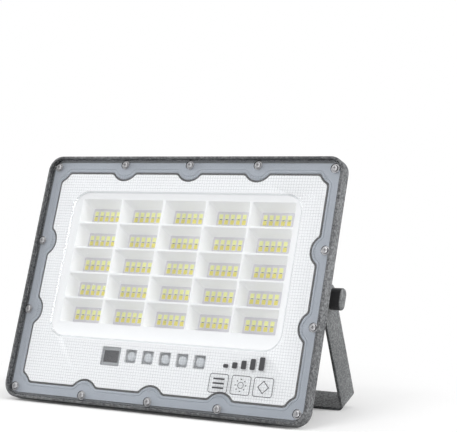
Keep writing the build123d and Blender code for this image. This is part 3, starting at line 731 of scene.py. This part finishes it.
class Moulding:
    """Gathers faces in the head's own axes and turns them into one piece."""

    def __init__(self, name: str, head: HeadFrame) -> None:
        """Start an empty piece.

        Args:
            name: the piece's name.
            head: the axes that it is drawn in.
        """
        self.name = name
        self.head = head
        self.bm = bmesh.new()

    def ring(self, outline: Iterable[Point2], n: float) -> list[bmesh.types.BMVert]:
        """A loop of points at one depth."""
        return [self.bm.verts.new((u, v, n)) for u, v in outline]

    def skirt(self, lower: list, upper: list, slot: int = 0) -> None:
        """Join two loops of the same length by quads.

        Args:
            lower: the first loop.
            upper: the second loop, one step further out.
            slot: the material slot of the quads.
        """
        count = len(lower)
        for i in range(count):
            j = (i + 1) % count
            face = self.bm.faces.new((lower[i], lower[j], upper[j], upper[i]))
            face.material_index = slot

    def cap(self, loop: list, slot: int = 0, flip: bool = False) -> None:
        """Close a loop with one face."""
        face = self.bm.faces.new(list(reversed(loop)) if flip else loop)
        face.material_index = slot

    def prism(self, outline: list[Point2], low: float, high: float) -> None:
        """A closed plate.

        Args:
            outline: the plate's outline, anticlockwise.
            low: depth of its back.
            high: depth of its front.
        """
        back = self.ring(outline, low)
        self.cap(back, flip=True)
        front = self.ring(outline, high)
        self.skirt(back, front)
        self.cap(front)

    def band(self, outer: list[Point2], inner: list[Point2], low: float, high: float) -> None:
        """A closed ring-shaped plate between two outlines of the same length.

        Args:
            outer: the outer outline.
            inner: the inner outline.
            low: depth of its back.
            high: depth of its front.
        """
        section = ((outer, low), (outer, high), (inner, high), (inner, low))
        loops = [self.ring(outline, depth) for outline, depth in section]
        for first, second in zip(loops, loops[1:] + loops[:1]):
            self.skirt(first, second)

    def fill(self, loops: list[list], extra: Iterable[bmesh.types.BMEdge] = ()) -> None:
        """Fill the flat space between an outline and the loops inside it.

        Args:
            loops: the outline and each hole's loop, all at one depth.
            extra: more edges that bound a hole.
        """
        edges = list(extra)
        for loop in loops:
            for pair in zip(loop, loop[1:] + loop[:1]):
                edges.append(self.bm.edges.get(pair) or self.bm.edges.new(pair))
        bmesh.ops.triangle_fill(self.bm, edges=edges, use_beauty=True, use_dissolve=False)

    def finish(
        self, materials: list[bpy.types.Material], smooth_deg: float = 30.0
    ) -> bpy.types.Object:
        """Write the gathered faces to a Blender object in the light's frame.

        Args:
            materials: the piece's materials, in slot order.
            smooth_deg: edges flatter than this are shaded smooth.

        Returns:
            The new object.
        """
        self.bm.normal_update()
        bmesh.ops.recalc_face_normals(self.bm, faces=self.bm.faces)
        mesh = bpy.data.meshes.new(self.name)
        self.bm.to_mesh(mesh)
        self.bm.free()
        mesh.transform(self.head.matrix())
        for material in materials:
            mesh.materials.append(material)
        mesh.shade_smooth()
        mesh.set_sharp_from_angle(angle=math.radians(smooth_deg))
        piece = bpy.data.objects.new(self.name, mesh)
        bpy.context.scene.collection.objects.link(piece)
        return piece


def rounded(
    width: float, height: float, radius: float, middle: Point2 = (0.0, 0.0), *, steps: int
) -> list[Point2]:
    """The outline of a rectangle with round corners, anticlockwise.

    Args:
        width: full width.
        height: full height.
        radius: corner radius.
        middle: its centre.
        steps: segments in each corner.

    Returns:
        The outline's points.
    """
    points = []
    corners = ((1, 1, 0), (-1, 1, 90), (-1, -1, 180), (1, -1, 270))
    for side_u, side_v, start in corners:
        cu = middle[0] + side_u * (width / 2 - radius)
        cv = middle[1] + side_v * (height / 2 - radius)
        for i in range(steps + 1):
            angle = math.radians(start + 90 * i / steps)
            points.append((cu + radius * math.cos(angle), cv + radius * math.sin(angle)))
    return points


def circle(radius: float, middle: Point2, steps: int = 24) -> list[Point2]:
    """A circle's outline, anticlockwise.

    Args:
        radius: its radius.
        middle: its centre.
        steps: segments round it.

    Returns:
        The outline's points.
    """
    turns = [2 * math.pi * i / steps for i in range(steps)]
    return [(middle[0] + radius * math.cos(t), middle[1] + radius * math.sin(t)) for t in turns]


def inset(outline: list[Point2], distance: float) -> list[Point2]:
    """Draw an anticlockwise outline in by an even distance.

    Args:
        outline: its points.
        distance: how far in.

    Returns:
        The new points, one for each old one.
    """
    moved = []
    count = len(outline)
    for i, here in enumerate(outline):
        before, after = Vector(outline[i - 1]), Vector(outline[(i + 1) % count])
        into = (Vector(here) - before).normalized()
        out = (after - Vector(here)).normalized()
        normal = Vector((-(into.y + out.y), into.x + out.x)).normalized()
        reach = distance / max(LEAST_MITRE, normal.dot(Vector((-into.y, into.x))))
        moved.append(tuple(Vector(here) + normal * reach))
    return moved


def front_loops(node: bpy.types.Object, head: HeadFrame) -> list[list[Point2]]:
    """The outlines of a construction node's flat front, the widest first.

    Args:
        node: the node's object.
        head: the head's axes.

    Returns:
        Each outline as anticlockwise points.
    """
    bm = bmesh.new()
    bm.from_mesh(node.data)
    bmesh.ops.remove_doubles(bm, verts=bm.verts, dist=READ_WELD)
    bmesh.ops.recalc_face_normals(bm, faces=bm.faces)
    out = head.matrix().to_3x3() @ Vector((0.0, 0.0, 1.0))
    front = {face for face in bm.faces if face.normal.dot(out) > FACES_OUT}
    links: dict[bmesh.types.BMVert, list[bmesh.types.BMVert]] = {}
    for edge in bm.edges:
        if len(front.intersection(edge.link_faces)) == 1:
            first, second = edge.verts
            links.setdefault(first, []).append(second)
            links.setdefault(second, []).append(first)
    loops = []
    while links:
        here = next(iter(links))
        walk = [here]
        while True:
            onward = [vert for vert in links.pop(here) if vert in links]
            if not onward:
                break
            here = onward[0]
            walk.append(here)
        points = [tuple(head.local(vert.co.copy()))[:2] for vert in walk]
        area = sum(a[0] * b[1] - b[0] * a[1] for a, b in zip(points, points[1:] + points[:1]))
        loops.append(points if area > 0 else points[::-1])
    bm.free()
    spans = [[point[0] for point in loop] for loop in loops]
    order = sorted(range(len(loops)), key=lambda i: min(spans[i]) - max(spans[i]))
    return [loops[i] for i in order]


def islands(node: bpy.types.Object, head: HeadFrame) -> list[Vector]:
    """The middle of each separate solid of a construction node, as (u, v, n).

    Args:
        node: the node's object.
        head: the head's axes.

    Returns:
        One point for each solid, in rows from the foot up, each row from left to right.
    """
    bm = bmesh.new()
    bm.from_mesh(node.data)
    bmesh.ops.remove_doubles(bm, verts=bm.verts, dist=READ_WELD)
    seen: set[bmesh.types.BMVert] = set()
    middles = []
    for start in bm.verts:
        if start in seen:
            continue
        seen.add(start)
        solid, queue = [], [start]
        while queue:
            vert = queue.pop()
            solid.append(head.local(vert.co.copy()))
            for edge in vert.link_edges:
                other = edge.other_vert(vert)
                if other not in seen:
                    seen.add(other)
                    queue.append(other)
        low = Vector(min(p[k] for p in solid) for k in range(3))
        high = Vector(max(p[k] for p in solid) for k in range(3))
        middles.append((low + high) / 2)
    bm.free()
    return sorted(middles, key=lambda p: (round(p.y / MM), round(p.x / MM)))


def softened(node: bpy.types.Object, name: str, edge: float) -> bpy.types.Object:
    """A copy of a construction node whose sharp edges are rounded over.

    Args:
        node: the node to copy.
        name: the new piece's name.
        edge: the rounding's width.

    Returns:
        The new piece, with no material yet.
    """
    bm = bmesh.new()
    bm.from_mesh(node.data)
    bmesh.ops.remove_doubles(bm, verts=bm.verts, dist=SOFT_WELD)
    bmesh.ops.dissolve_limit(bm, angle_limit=math.radians(FLAT_DEG), verts=bm.verts, edges=bm.edges)
    bmesh.ops.recalc_face_normals(bm, faces=bm.faces)
    mesh = bpy.data.meshes.new(name)
    bm.to_mesh(mesh)
    bm.free()
    mesh.shade_smooth()
    mesh.set_sharp_from_angle(angle=math.radians(SHARP_DEG))
    piece = bpy.data.objects.new(name, mesh)
    bpy.context.scene.collection.objects.link(piece)
    rounding = piece.modifiers.new("rounding", "BEVEL")
    rounding.width = edge
    rounding.segments = ROUNDING_STEPS
    rounding.limit_method = "ANGLE"
    rounding.angle_limit = math.radians(ROUNDED_DEG)
    rounding.harden_normals = True
    rounding.use_clamp_overlap = True
    return piece


# ---------------------------------------------------------------- sub-assemblies


@dataclass
class SubAssembly:
    """What every group of pieces shares.

    Attributes:
        nodes: the construction nodes by name.
        head: the lamp face's axes.
        palette: the finishes.
    """

    nodes: dict[str, bpy.types.Object]
    head: HeadFrame
    palette: Palette

    def dress(self, slot: Slot, *names: str) -> None:
        """Give construction nodes a finish in place of their plain one.

        Args:
            slot: the record's slot.
            *names: the nodes.
        """
        material = self.palette.get(slot)
        for name in names:
            mesh = self.nodes[name].data
            mesh.materials.clear()
            mesh.materials.append(material)
            LOG.info("%s wears %s", name, material.name)

    def place(
        self, piece: bpy.types.Object, body: str, slot: Slot, *stands_for: str
    ) -> bpy.types.Object:
        """Fix a new piece to its body.

        Args:
            piece: the piece, already where it belongs.
            body: the body that it moves with.
            slot: the record's slot for its finish; not used.
            *stands_for: the construction nodes that it replaces.

        Returns:
            The same piece.
        """
        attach(piece, body)
        if stands_for:
            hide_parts(*stands_for)
        LOG.info("%s rides on %s", piece.name, body)
        return piece

    def soften(
        self, name: str, slot: Slot, edge: float, body: str = HEAD
    ) -> bpy.types.Object:
        """Replace a construction node by a copy with rounded edges.

        Args:
            name: the node.
            slot: its finish.
            edge: the rounding's width.
            body: the body that it moves with.

        Returns:
            The new piece.
        """
        piece = softened(self.nodes[name], f"{name}_moulded", edge)
        piece.data.materials.append(self.palette.get(slot))
        return self.place(piece, body, slot, name)


@dataclass
class LensAssembly(SubAssembly):
    """The clear front: a flat flange, a sunk window, rows of small prisms and its screws."""

    width: float = 285.2 * MM
    height: float = 210.8 * MM
    corner: float = 10.5 * MM
    thickness: float = 2.0 * MM
    edge: float = 0.35 * MM
    window: Point2 = (226.0 * MM, 130.0 * MM)
    window_corner: float = 16.0 * MM
    window_rise: float = 12.0 * MM
    window_drop: float = 0.7 * MM
    window_slope: float = 1.6 * MM
    # how far across the slope, and how far down, each bend of the window's edge lies
    window_shoulder: Point2 = (0.25, 0.12)
    window_brow: Point2 = (0.75, 0.88)
    recess_radius: float = 4.0 * MM
    recess_depth: float = 0.9 * MM
    recess_draft: float = 0.15 * MM
    screw_hole: float = 1.75 * MM
    prism_pitch: float = 2.4 * MM
    prism_height: float = 0.16 * MM
    groove: float = 0.22 * MM
    prism_columns: int = 108
    prism_rows: int = 77
    smooth_deg: float = 24.0

    # the lens's materials, in the order of their slots; the groove and window-edge tints are painted
    # shade
    FINISH_ORDER = (Slot.LENS, PRISM_GROOVE_SHADE, WINDOW_EDGE_SHADE, WINDOW_PANE)
    GROOVE_SHADE_SLOT = 1
    EDGE_SHADE_SLOT = 2
    PANE_SLOT = 3

    def window_outline(self, inward: float) -> list[Point2]:
        """The sunk window's outline, drawn in.

        Args:
            inward: how far in.

        Returns:
            The outline's points.
        """
        size_u, size_v = self.window[0] - 2 * inward, self.window[1] - 2 * inward
        corner = self.window_corner - inward
        return rounded(size_u, size_v, corner, (0.0, self.window_rise), steps=10)

    def in_window(self, u: float, v: float) -> bool:
        """Tell whether a point lies over the sunk window.

        Args:
            u: its place across the face.
            v: its place up the face.

        Returns:
            True over the window.
        """
        half_u, half_v = self.window[0] / 2, self.window[1] / 2
        past_u = abs(u) - (half_u - self.window_corner)
        past_v = abs(v - self.window_rise) - (half_v - self.window_corner)
        if past_u > 0 and past_v > 0:
            return math.hypot(past_u, past_v) < self.window_corner
        return past_u < self.window_corner and past_v < self.window_corner

    def prisms(self, m: Moulding) -> list[bmesh.types.BMEdge]:
        """Lay the small pyramids on the back and return the edges round their field; the flat grooves
        round each pyramid get a grey tint that is painted shade.

        Args:
            m: the lens under way.

        Returns:
            The edges that have a pyramid on one side only.
        """
        start_u = -self.prism_columns * self.prism_pitch / 2
        start_v = -self.prism_rows * self.prism_pitch / 2
        grid: dict[tuple[int, int], bmesh.types.BMVert] = {}
        faces = []
        for row in range(self.prism_rows):
            for column in range(self.prism_columns):
                u = start_u + (column + 0.5) * self.prism_pitch
                v = start_v + (row + 0.5) * self.prism_pitch
                if self.in_window(u, v):
                    continue
                corners = []
                for i, j in ((column, row), (column, row + 1), (column + 1, row + 1), (column + 1, row)):
                    if (i, j) not in grid:
                        across = start_u + i * self.prism_pitch
                        up = start_v + j * self.prism_pitch
                        grid[i, j] = m.bm.verts.new((across, up, -self.thickness))
                    corners.append(grid[i, j])
                tip = m.bm.verts.new((u, v, -self.thickness - self.prism_height))
                half = self.prism_pitch / 2 - self.groove
                feet = [m.bm.verts.new((u + du * half, v + dv * half, -self.thickness))
                        for du, dv in ((-1, -1), (-1, 1), (1, 1), (1, -1))]
                for k in range(4):
                    after = (k + 1) % 4
                    faces.append(m.bm.faces.new((corners[k], corners[after], feet[after], feet[k])))
                    # the groove strips wear the grey tint of painted shade
                    faces[-1].material_index = self.GROOVE_SHADE_SLOT
                    m.bm.faces.new((feet[k], feet[after], tip))
        edges = dict.fromkeys(edge for face in faces for edge in face.edges)
        return [edge for edge in edges if len(edge.link_faces) == 1]

    def build(self) -> None:
        """Build the lens and dress its screws."""
        m = Moulding("lens_clear_cover", self.head)
        outline = rounded(self.width, self.height, self.corner, steps=8)
        drawn_in = inset(outline, self.edge)
        front = m.ring(drawn_in, 0.0)
        side_top = m.ring(outline, -self.edge)
        side_low = m.ring(outline, self.edge - self.thickness)
        back = m.ring(drawn_in, -self.thickness)
        for first, second in ((back, side_low), (side_low, side_top), (side_top, front)):
            m.skirt(first, second)
        slope = [
            m.ring(self.window_outline(self.window_slope * across), -self.window_drop * down)
            for across, down in ((0.0, 0.0), self.window_shoulder, self.window_brow, (1.0, 1.0))
        ]
        for first, second in zip(slope, slope[1:]):
            # the window's sloped edge wears the darker tint of painted shade
            m.skirt(first, second, self.EDGE_SHADE_SLOT)
        m.cap(slope[-1], self.PANE_SLOT)
        fronts, backs = [front, slope[0]], [back]
        for spot in islands(self.nodes["lens_screws"], self.head):
            middle = (spot.x, spot.y)
            rim = m.ring(circle(self.recess_radius, middle), 0.0)
            seat = m.ring(circle(self.recess_radius - self.recess_draft, middle), -self.recess_depth)
            hole_top = m.ring(circle(self.screw_hole, middle), -self.recess_depth)
            hole_low = m.ring(circle(self.screw_hole, middle), -self.thickness)
            for first, second in ((rim, seat), (seat, hole_top), (hole_top, hole_low)):
                m.skirt(first, second)
            fronts.append(rim)
            backs.append(hole_low)
        m.fill(fronts)
        m.fill(backs, self.prisms(m))
        finishes = [self.palette.get(finish) for finish in self.FINISH_ORDER]
        piece = m.finish(finishes, self.smooth_deg)
        self.place(piece, HEAD, Slot.LENS, "lens")
        self.dress(Slot.STEEL, "lens_screws", "lens_washers")


class Sign(Enum):
    """The plain figures in the frames, from left to right."""

    ROWS = "rows"
    SUN = "sun"
    DIAMOND = "diamond"


@dataclass
class MarkStrip(SubAssembly):
    """Plain printed marks on the lens's lower right: five rising level bars and three framed signs."""

    bars_foot: Point2 = (83.0 * MM, -67.7 * MM)
    bar_count: int = 5
    bar_width: float = 4.6 * MM
    bar_corner: float = 0.9 * MM
    bar_pitch: float = 8.0 * MM
    bar_low: float = 3.0 * MM
    bar_rise: float = 1.9 * MM
    frame_size: Point2 = (17.5 * MM, 15.5 * MM)
    frame_corner: float = 2.2 * MM
    frame_pitch: float = 20.2 * MM
    frame_middle: Point2 = (83.1 * MM, -80.5 * MM)
    frame_line: float = 0.5 * MM
    row_count: int = 3
    row_size: Point2 = (10.5 * MM, 1.3 * MM)
    row_corner: float = 0.5 * MM
    row_pitch: float = 3.6 * MM
    sun_radius: float = 2.7 * MM
    sun_bore: float = 2.2 * MM
    dot_count: int = 8
    dot_radius: float = 0.55 * MM
    dot_reach: float = 4.7 * MM
    diamond_reach: float = 5.2 * MM
    diamond_line: float = 0.6 * MM
    ink: float = 0.05 * MM

    def build(self) -> None:
        """Build all the marks as one thin layer of ink."""
        m = Moulding("lens_level_marks", self.head)
        for i in range(self.bar_count):
            u = self.bars_foot[0] + (i - self.bar_count // 2) * self.bar_pitch
            tall = self.bar_low + i * self.bar_rise
            middle = (u, self.bars_foot[1] + tall / 2)
            bar = rounded(self.bar_width, tall, self.bar_corner, middle, steps=4)
            m.prism(bar, 0.0, self.ink)
        for i, kind in enumerate(Sign):
            u = self.frame_middle[0] + (i - len(Sign) // 2) * self.frame_pitch
            middle = (u, self.frame_middle[1])
            outer = rounded(*self.frame_size, self.frame_corner, middle, steps=5)
            m.band(outer, inset(outer, self.frame_line), 0.0, self.ink)
            self.sign(m, kind, middle)
        piece = m.finish([self.palette.get(MARK_INK)])
        self.place(piece, HEAD, Slot.BLACK)

    def sign(self, m: Moulding, kind: Sign, middle: Point2) -> None:
        """One plain figure inside a frame.

        Args:
            m: the marks under way.
            kind: a stack of rows, a ring with dots round it, or a diamond.
            middle: the frame's centre.
        """
        if kind is Sign.ROWS:
            for i in range(self.row_count):
                spot = (middle[0], middle[1] + (i - self.row_count // 2) * self.row_pitch)
                row = rounded(*self.row_size, self.row_corner, spot, steps=3)
                m.prism(row, 0.0, self.ink)
        elif kind is Sign.SUN:
            m.band(circle(self.sun_radius, middle), circle(self.sun_bore, middle), 0.0, self.ink)
            for spot in circle(self.dot_reach, middle, steps=self.dot_count):
                m.prism(circle(self.dot_radius, spot, steps=12), 0.0, self.ink)
        else:
            outer = circle(self.diamond_reach, middle, steps=4)
            m.band(outer, inset(outer, self.diamond_line), 0.0, self.ink)


@dataclass
class LedArray(SubAssembly):
    """The board of lamps behind the reflector: white packages with a pool of phosphor each."""

    size: Point2 = (3.9 * MM, 4.2 * MM)
    corner: float = 0.25 * MM
    edge: float = 0.08 * MM
    height: float = 0.7 * MM
    board_front: float = -14.2 * MM
    rim: float = 0.14 * MM
    pool_depth: float = 0.10 * MM
    pool_draft: float = 0.08 * MM
    joint_size: Point2 = (1.9 * MM, 0.62 * MM)
    joint_corner: float = 0.2 * MM
    joint_draft: float = 0.18 * MM
    joint_gap: float = 0.02 * MM
    joint_height: float = 0.72 * MM

    # material slots of a row: the package itself is 0
    POOL_SLOT = 1
    SOLDER_SLOT = 2

    def packages(self, node: str, slot: Slot, joined: bool) -> None:
        """Build one row colour's packages.

        Args:
            node: the construction node that they stand for.
            slot: the phosphor's finish.
            joined: True for the row that carries the joints above it.
        """
        m = Moulding(f"{node}_packages", self.head)
        top = self.board_front + self.height
        for spot in islands(self.nodes[node], self.head):
            middle = (spot.x, spot.y)
            outline = rounded(*self.size, self.corner, middle, steps=2)
            loops = [
                m.ring(outline, self.board_front),
                m.ring(outline, top - self.edge),
                m.ring(inset(outline, self.edge), top),
                m.ring(inset(outline, self.rim), top),
                m.ring(inset(outline, self.rim + self.pool_draft), top - self.pool_depth),
            ]
            m.cap(loops[0], flip=True)
            for first, second in zip(loops, loops[1:]):
                m.skirt(first, second)
            m.cap(loops[-1], self.POOL_SLOT)
            if joined:
                self.solder(m, middle)
        materials = [self.palette.get(f) for f in (PACKAGE_WHITE, slot, SOLDER)]
        self.place(m.finish(materials), HEAD, slot, node)

    def solder(self, m: Moulding, middle: Point2) -> None:
        """A sloped dark bead that joins a package to the one above it.

        Args:
            m: the packages under way.
            middle: the package's centre.
        """
        v = middle[1] + self.size[1] / 2 + self.joint_size[1] / 2 + self.joint_gap
        outline = rounded(*self.joint_size, self.joint_corner, (middle[0], v), steps=2)
        low = m.ring(outline, self.board_front)
        high = m.ring(inset(outline, self.joint_draft), self.board_front + self.joint_height)
        m.cap(low, self.SOLDER_SLOT, flip=True)
        m.skirt(low, high, self.SOLDER_SLOT)
        m.cap(high, self.SOLDER_SLOT)

    def build(self) -> None:
        """Build both rows and dress the boards."""
        self.packages("leds_cool", Slot.COOL, False)
        self.packages("leds_warm", Slot.WARM, True)
        self.dress(Slot.BOARD, "led_board")
        self.dress(Slot.STEEL, "board_screws")
        self.dress(Slot.PAD, "thermal_pad")


@dataclass
class FrontFittings(SubAssembly):
    """The seal, the reflector and the row of charge lamps and sensor under the lens."""

    seal_back: float = -4.0 * MM
    seal_front: float = -2.05 * MM
    rim_profile: tuple[Point2, ...] = (
        (0.0, seal_back), (0.0, -3.7 * MM), (0.15 * MM, -3.5 * MM), (1.6 * MM, -3.4 * MM),
        (2.0 * MM, -2.35 * MM), (2.4 * MM, seal_front),
    )
    opening_profile: tuple[Point2, ...] = (
        (0.0, seal_back), (0.0, -2.75 * MM), (0.2 * MM, -2.35 * MM), (0.6 * MM, -2.1 * MM),
        (1.0 * MM, seal_front), (1.9 * MM, seal_front), (2.2 * MM, -2.45 * MM), (2.6 * MM, -2.45 * MM),
        (2.9 * MM, seal_front),
    )
    smooth_deg: float = 24.0
    reflector_edge: float = 0.3 * MM
    bezel_edge: float = 0.2 * MM
    shade_cushion_edge: float = 0.3 * MM

    # material slots of the seal: the step along the rim wears a dark tone that is painted shade
    PLAIN_SLOT = 0
    STEP_SHADE_SLOT = 1

    def seal(self) -> None:
        """Build the seal from its outlines, with a step along the rim in dark silicone as painted shade
        and a groove round the opening.
        """
        loops = front_loops(self.nodes["gasket"], self.head)
        outer, opening, holes = loops[0], loops[1], loops[2:]
        m = Moulding("gasket_moulded", self.head)
        outside = [m.ring(inset(outer, reach), depth) for reach, depth in self.rim_profile]
        inside = [m.ring(inset(opening, -reach), depth) for reach, depth in self.opening_profile]
        for rings, slot in ((outside, self.STEP_SHADE_SLOT), (inside, self.PLAIN_SLOT)):
            for low, high in zip(rings, rings[1:]):
                m.skirt(low, high, slot)
        tops, feet = [outside[-1], inside[-1]], [outside[0], inside[0]]
        for hole in holes:
            foot, top = m.ring(hole, self.seal_back), m.ring(hole, self.seal_front)
            m.skirt(foot, top)
            tops.append(top)
            feet.append(foot)
        m.fill(tops)
        m.fill(feet)
        finishes = [self.palette.get(finish) for finish in (Slot.SEAL, SEAL_STEP_PAINTED_SHADE)]
        piece = m.finish(finishes, self.smooth_deg)
        self.place(piece, HEAD, Slot.SEAL, "gasket")

    def build(self) -> None:
        """Soften the moulded pieces and dress the small ones."""
        self.seal()
        self.soften("reflector", Slot.WHITE, self.reflector_edge)
        self.soften("sensor_bezel", Slot.BEZEL, self.bezel_edge)
        self.soften("indicator_blocks", Slot.BEZEL, self.bezel_edge)
        # the black rubber plate cushion is a dark strip laid in the gap round the reflector plate, as
        # painted shade for that gap
        self.soften("plate_cushion", Slot.RUBBER, self.shade_cushion_edge)
        self.dress(Slot.CONTROL, "control_board")
        self.dress(Slot.LAMP, "indicator_lamps")
        self.dress(Slot.PANE, "sensor_pane")
        self.dress(Slot.BLACK, "sensor_receiver", "controller_parts")
        self.dress(Slot.NYLON, "control_spacers")


@dataclass
class HousingAssembly(SubAssembly):
    """The cast back, its fins and cover, and the fittings for the lead and the vent."""

    fin_edge: float = 0.35 * MM

    def build(self) -> None:
        """Dress the castings and fittings."""
        self.dress(Slot.HOUSING, "housing", "rear_cover")
        self.soften("heat_sinks", Slot.HOUSING, self.fin_edge)
        self.dress(Slot.BLACK, "gland_body", "gland_nut", "breather")
        self.dress(Slot.RUBBER, "cover_gasket", "gland_seal")
        self.dress(Slot.STEEL, "cover_screws", "heat_sink_screws")


@dataclass
class PowerPack(SubAssembly):
    """The cells in their holder behind the board."""

    def build(self) -> None:
        """Dress the cells and their holder."""
        self.dress(Slot.CELL, "battery_cells")
        self.dress(Slot.HOLDER, "battery_holder")
        self.dress(Slot.STEEL, "battery_links")


@dataclass
class BracketAssembly(SubAssembly):
    """The bent strip stand and the tilt joint's knobs, studs and washers."""

    strip_edge: float = 0.3 * MM
    knob_edge: float = 0.25 * MM
    knob_painted_shade_limit: float = 0.3

    def knobs(self) -> None:
        """Round the thumb nuts over: the sides that don't face out along X get black plastic as painted
        shade, behind the coated grey face.
        """
        piece = self.soften("tilt_knobs", Slot.BRACKET, self.knob_edge)
        piece.data.materials.append(self.palette.get(Slot.BLACK))
        for face in piece.data.polygons:
            # faces not turned out along X wear black as painted shade; the rest keep the bracket's grey
            face.material_index = 0 if abs(face.normal.x) > self.knob_painted_shade_limit else 1

    def build(self) -> None:
        """Soften the strip and dress the joint."""
        self.soften("bracket", Slot.BRACKET, self.strip_edge, BRACKET)
        self.knobs()
        self.dress(Slot.STEEL, "pivot_studs", "pivot_washers", "lock_washers")
        self.dress(Slot.NYLON, "friction_washers")


# ---------------------------------------------------------------- studio


@dataclass(frozen=True)
class SoftBox:
    """One large soft lamp.

    Attributes:
        name: its name.
        place: where it hangs, from the face's centre.
        size: its width and height.
        power: watts.
        mirrored: true where glossy surfaces reflect the lamp itself.
    """

    name: str
    place: Point3
    size: Point2
    power: float
    mirrored: bool = True


@dataclass
class Studio:
    """A plain pale floor, soft lamps, a white surround and the camera.

    Attributes:
        head: the lamp face's axes, which the lamps and the camera are placed from.
        lamps: the soft lamps.
        surround: how bright the surround is as a source of light.
        camera_place: where the camera stands, from the face's centre.
        camera_aim: the point that it looks at, from the face's centre.
        focal: its focal length, in millimetres.
        sensor: its sensor's width, in millimetres.
        clip: the nearest and the farthest distance that it sees.
        floor_size: the floor's width.
        floor_fade: from what distance to what distance the floor turns to plain white.
        floor_tone: the floor's colour where it is seen.
        floor_bounce: its colour for the light that it throws back.
    """

    head: HeadFrame
    lamps: tuple[SoftBox, ...] = (
        SoftBox("key_lamp", (-0.10, -0.80, 1.05), (0.5, 0.5), 4.6),
        SoftBox("fill_lamp", (0.40, -1.20, 0.05), (0.8, 0.12), 4.2),
        SoftBox("side_lamp", (1.05, 0.15, 0.35), (0.6, 0.8), 12.5, mirrored=False),
        SoftBox("left_lamp", (-1.15, -0.28, 0.42), (0.5, 0.5), 9.0, mirrored=False),
        SoftBox("top_lamp", (0.0, 0.15, 1.15), (0.9, 0.7), 3.5),
    )
    surround: float = 0.20
    camera_place: Point3 = (0.6382, -0.9898, 0.0999)
    camera_aim: Point3 = (0.0569, 0.0, 0.0548)
    focal: float = 112.83
    sensor: float = 36.0
    clip: Point2 = (0.01, 50.0)
    floor_size: float = 6.0
    floor_fade: Point2 = (0.12, 0.30)
    floor_tone: Colour = (0.94, 0.94, 0.94)
    floor_bounce: Colour = (0.40, 0.40, 0.40)

    def light(self) -> None:
        """Hang the soft lamps round the face."""
        for lamp in self.lamps:
            data = bpy.data.lights.new(lamp.name, "AREA")
            data.shape = "RECTANGLE"
            data.size, data.size_y = lamp.size
            data.energy = lamp.power
            thing = bpy.data.objects.new(lamp.name, data)
            thing.location = self.head.centre + Vector(lamp.place)
            thing.rotation_mode = "QUATERNION"
            thing.rotation_quaternion = Vector(lamp.place).to_track_quat("Z", "Y")
            thing.visible_glossy = lamp.mirrored
            bpy.context.scene.collection.objects.link(thing)

    def world(self) -> None:
        """Surround the light with plain white that the camera and gloss see in full."""
        world = bpy.data.worlds.new("studio_surround")
        world.use_nodes = True
        g = Graph(world.node_tree)
        strength = g.ramp(g.seen(), 0.0, 1.0, (self.surround, 1.0))
        glow = g.add("ShaderNodeBackground", {"Color": WHITE_LIGHT, "Strength": strength})
        g.add("ShaderNodeOutputWorld", {"Surface": glow.outputs[0]})
        bpy.context.scene.world = world

    def floor(self) -> None:
        """Lay a pale floor that keeps the shadow and fades to plain white away from the light."""
        mesh = bpy.data.meshes.new("studio_floor")
        half = self.floor_size / 2
        corners = [(-half, -half, 0.0), (half, -half, 0.0), (half, half, 0.0), (-half, half, 0.0)]
        mesh.from_pydata(corners, [], [(0, 1, 2, 3)])
        material = bpy.data.materials.new("studio_floor_pale")
        material.use_nodes = True
        g = Graph(material.node_tree)
        place = g.add("ShaderNodeTexCoord").outputs["Object"]
        reach = g.add("ShaderNodeVectorMath", {0: place}, operation="LENGTH").outputs["Value"]
        far = g.ramp(reach, *self.floor_fade)
        seen = g.seen()
        share = g.math("MULTIPLY", far, seen)
        shade = g.blend(seen, self.floor_bounce, self.floor_tone)
        pale = g.add("ShaderNodeBsdfPrincipled", {"Base Color": shade, "Roughness": 0.9})
        white = g.add("ShaderNodeEmission", {"Color": WHITE_LIGHT, "Strength": 1.0})
        mix = g.add("ShaderNodeMixShader", {0: share, 1: pale.outputs[0], 2: white.outputs[0]})
        g.add("ShaderNodeOutputMaterial", {"Surface": mix.outputs[0]})
        mesh.materials.append(material)
        slab = bpy.data.objects.new("studio_floor", mesh)
        bpy.context.scene.collection.objects.link(slab)

    def camera(self) -> None:
        """Stand the camera low on the lamp's right."""
        data = bpy.data.cameras.new("studio_camera")
        data.lens = self.focal
        data.sensor_width = self.sensor
        data.clip_start, data.clip_end = self.clip
        eye = bpy.data.objects.new("studio_camera", data)
        eye.location = self.head.centre + Vector(self.camera_place)
        back = Vector(self.camera_place) - Vector(self.camera_aim)
        eye.rotation_mode = "QUATERNION"
        eye.rotation_quaternion = back.to_track_quat("Z", "Y")
        bpy.context.scene.collection.objects.link(eye)
        bpy.context.scene.camera = eye

    def build(self) -> None:
        """Set up the whole studio."""
        bpy.context.scene.view_settings.view_transform = "Standard"
        self.light()
        self.world()
        self.floor()
        self.camera()


def main() -> None:
    """Load the frame, build every group in order and set up the studio."""
    logging.basicConfig(level=logging.INFO, format="%(name)s: %(message)s")
    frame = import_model()
    head = HeadFrame.from_frame()
    palette = Palette()
    groups = (
        HousingAssembly, PowerPack, LedArray, FrontFittings, LensAssembly, MarkStrip, BracketAssembly,
    )
    for group in groups:
        group(frame["nodes"], head, palette).build()
    Studio(head).build()


if __name__ == "__main__":
    main()
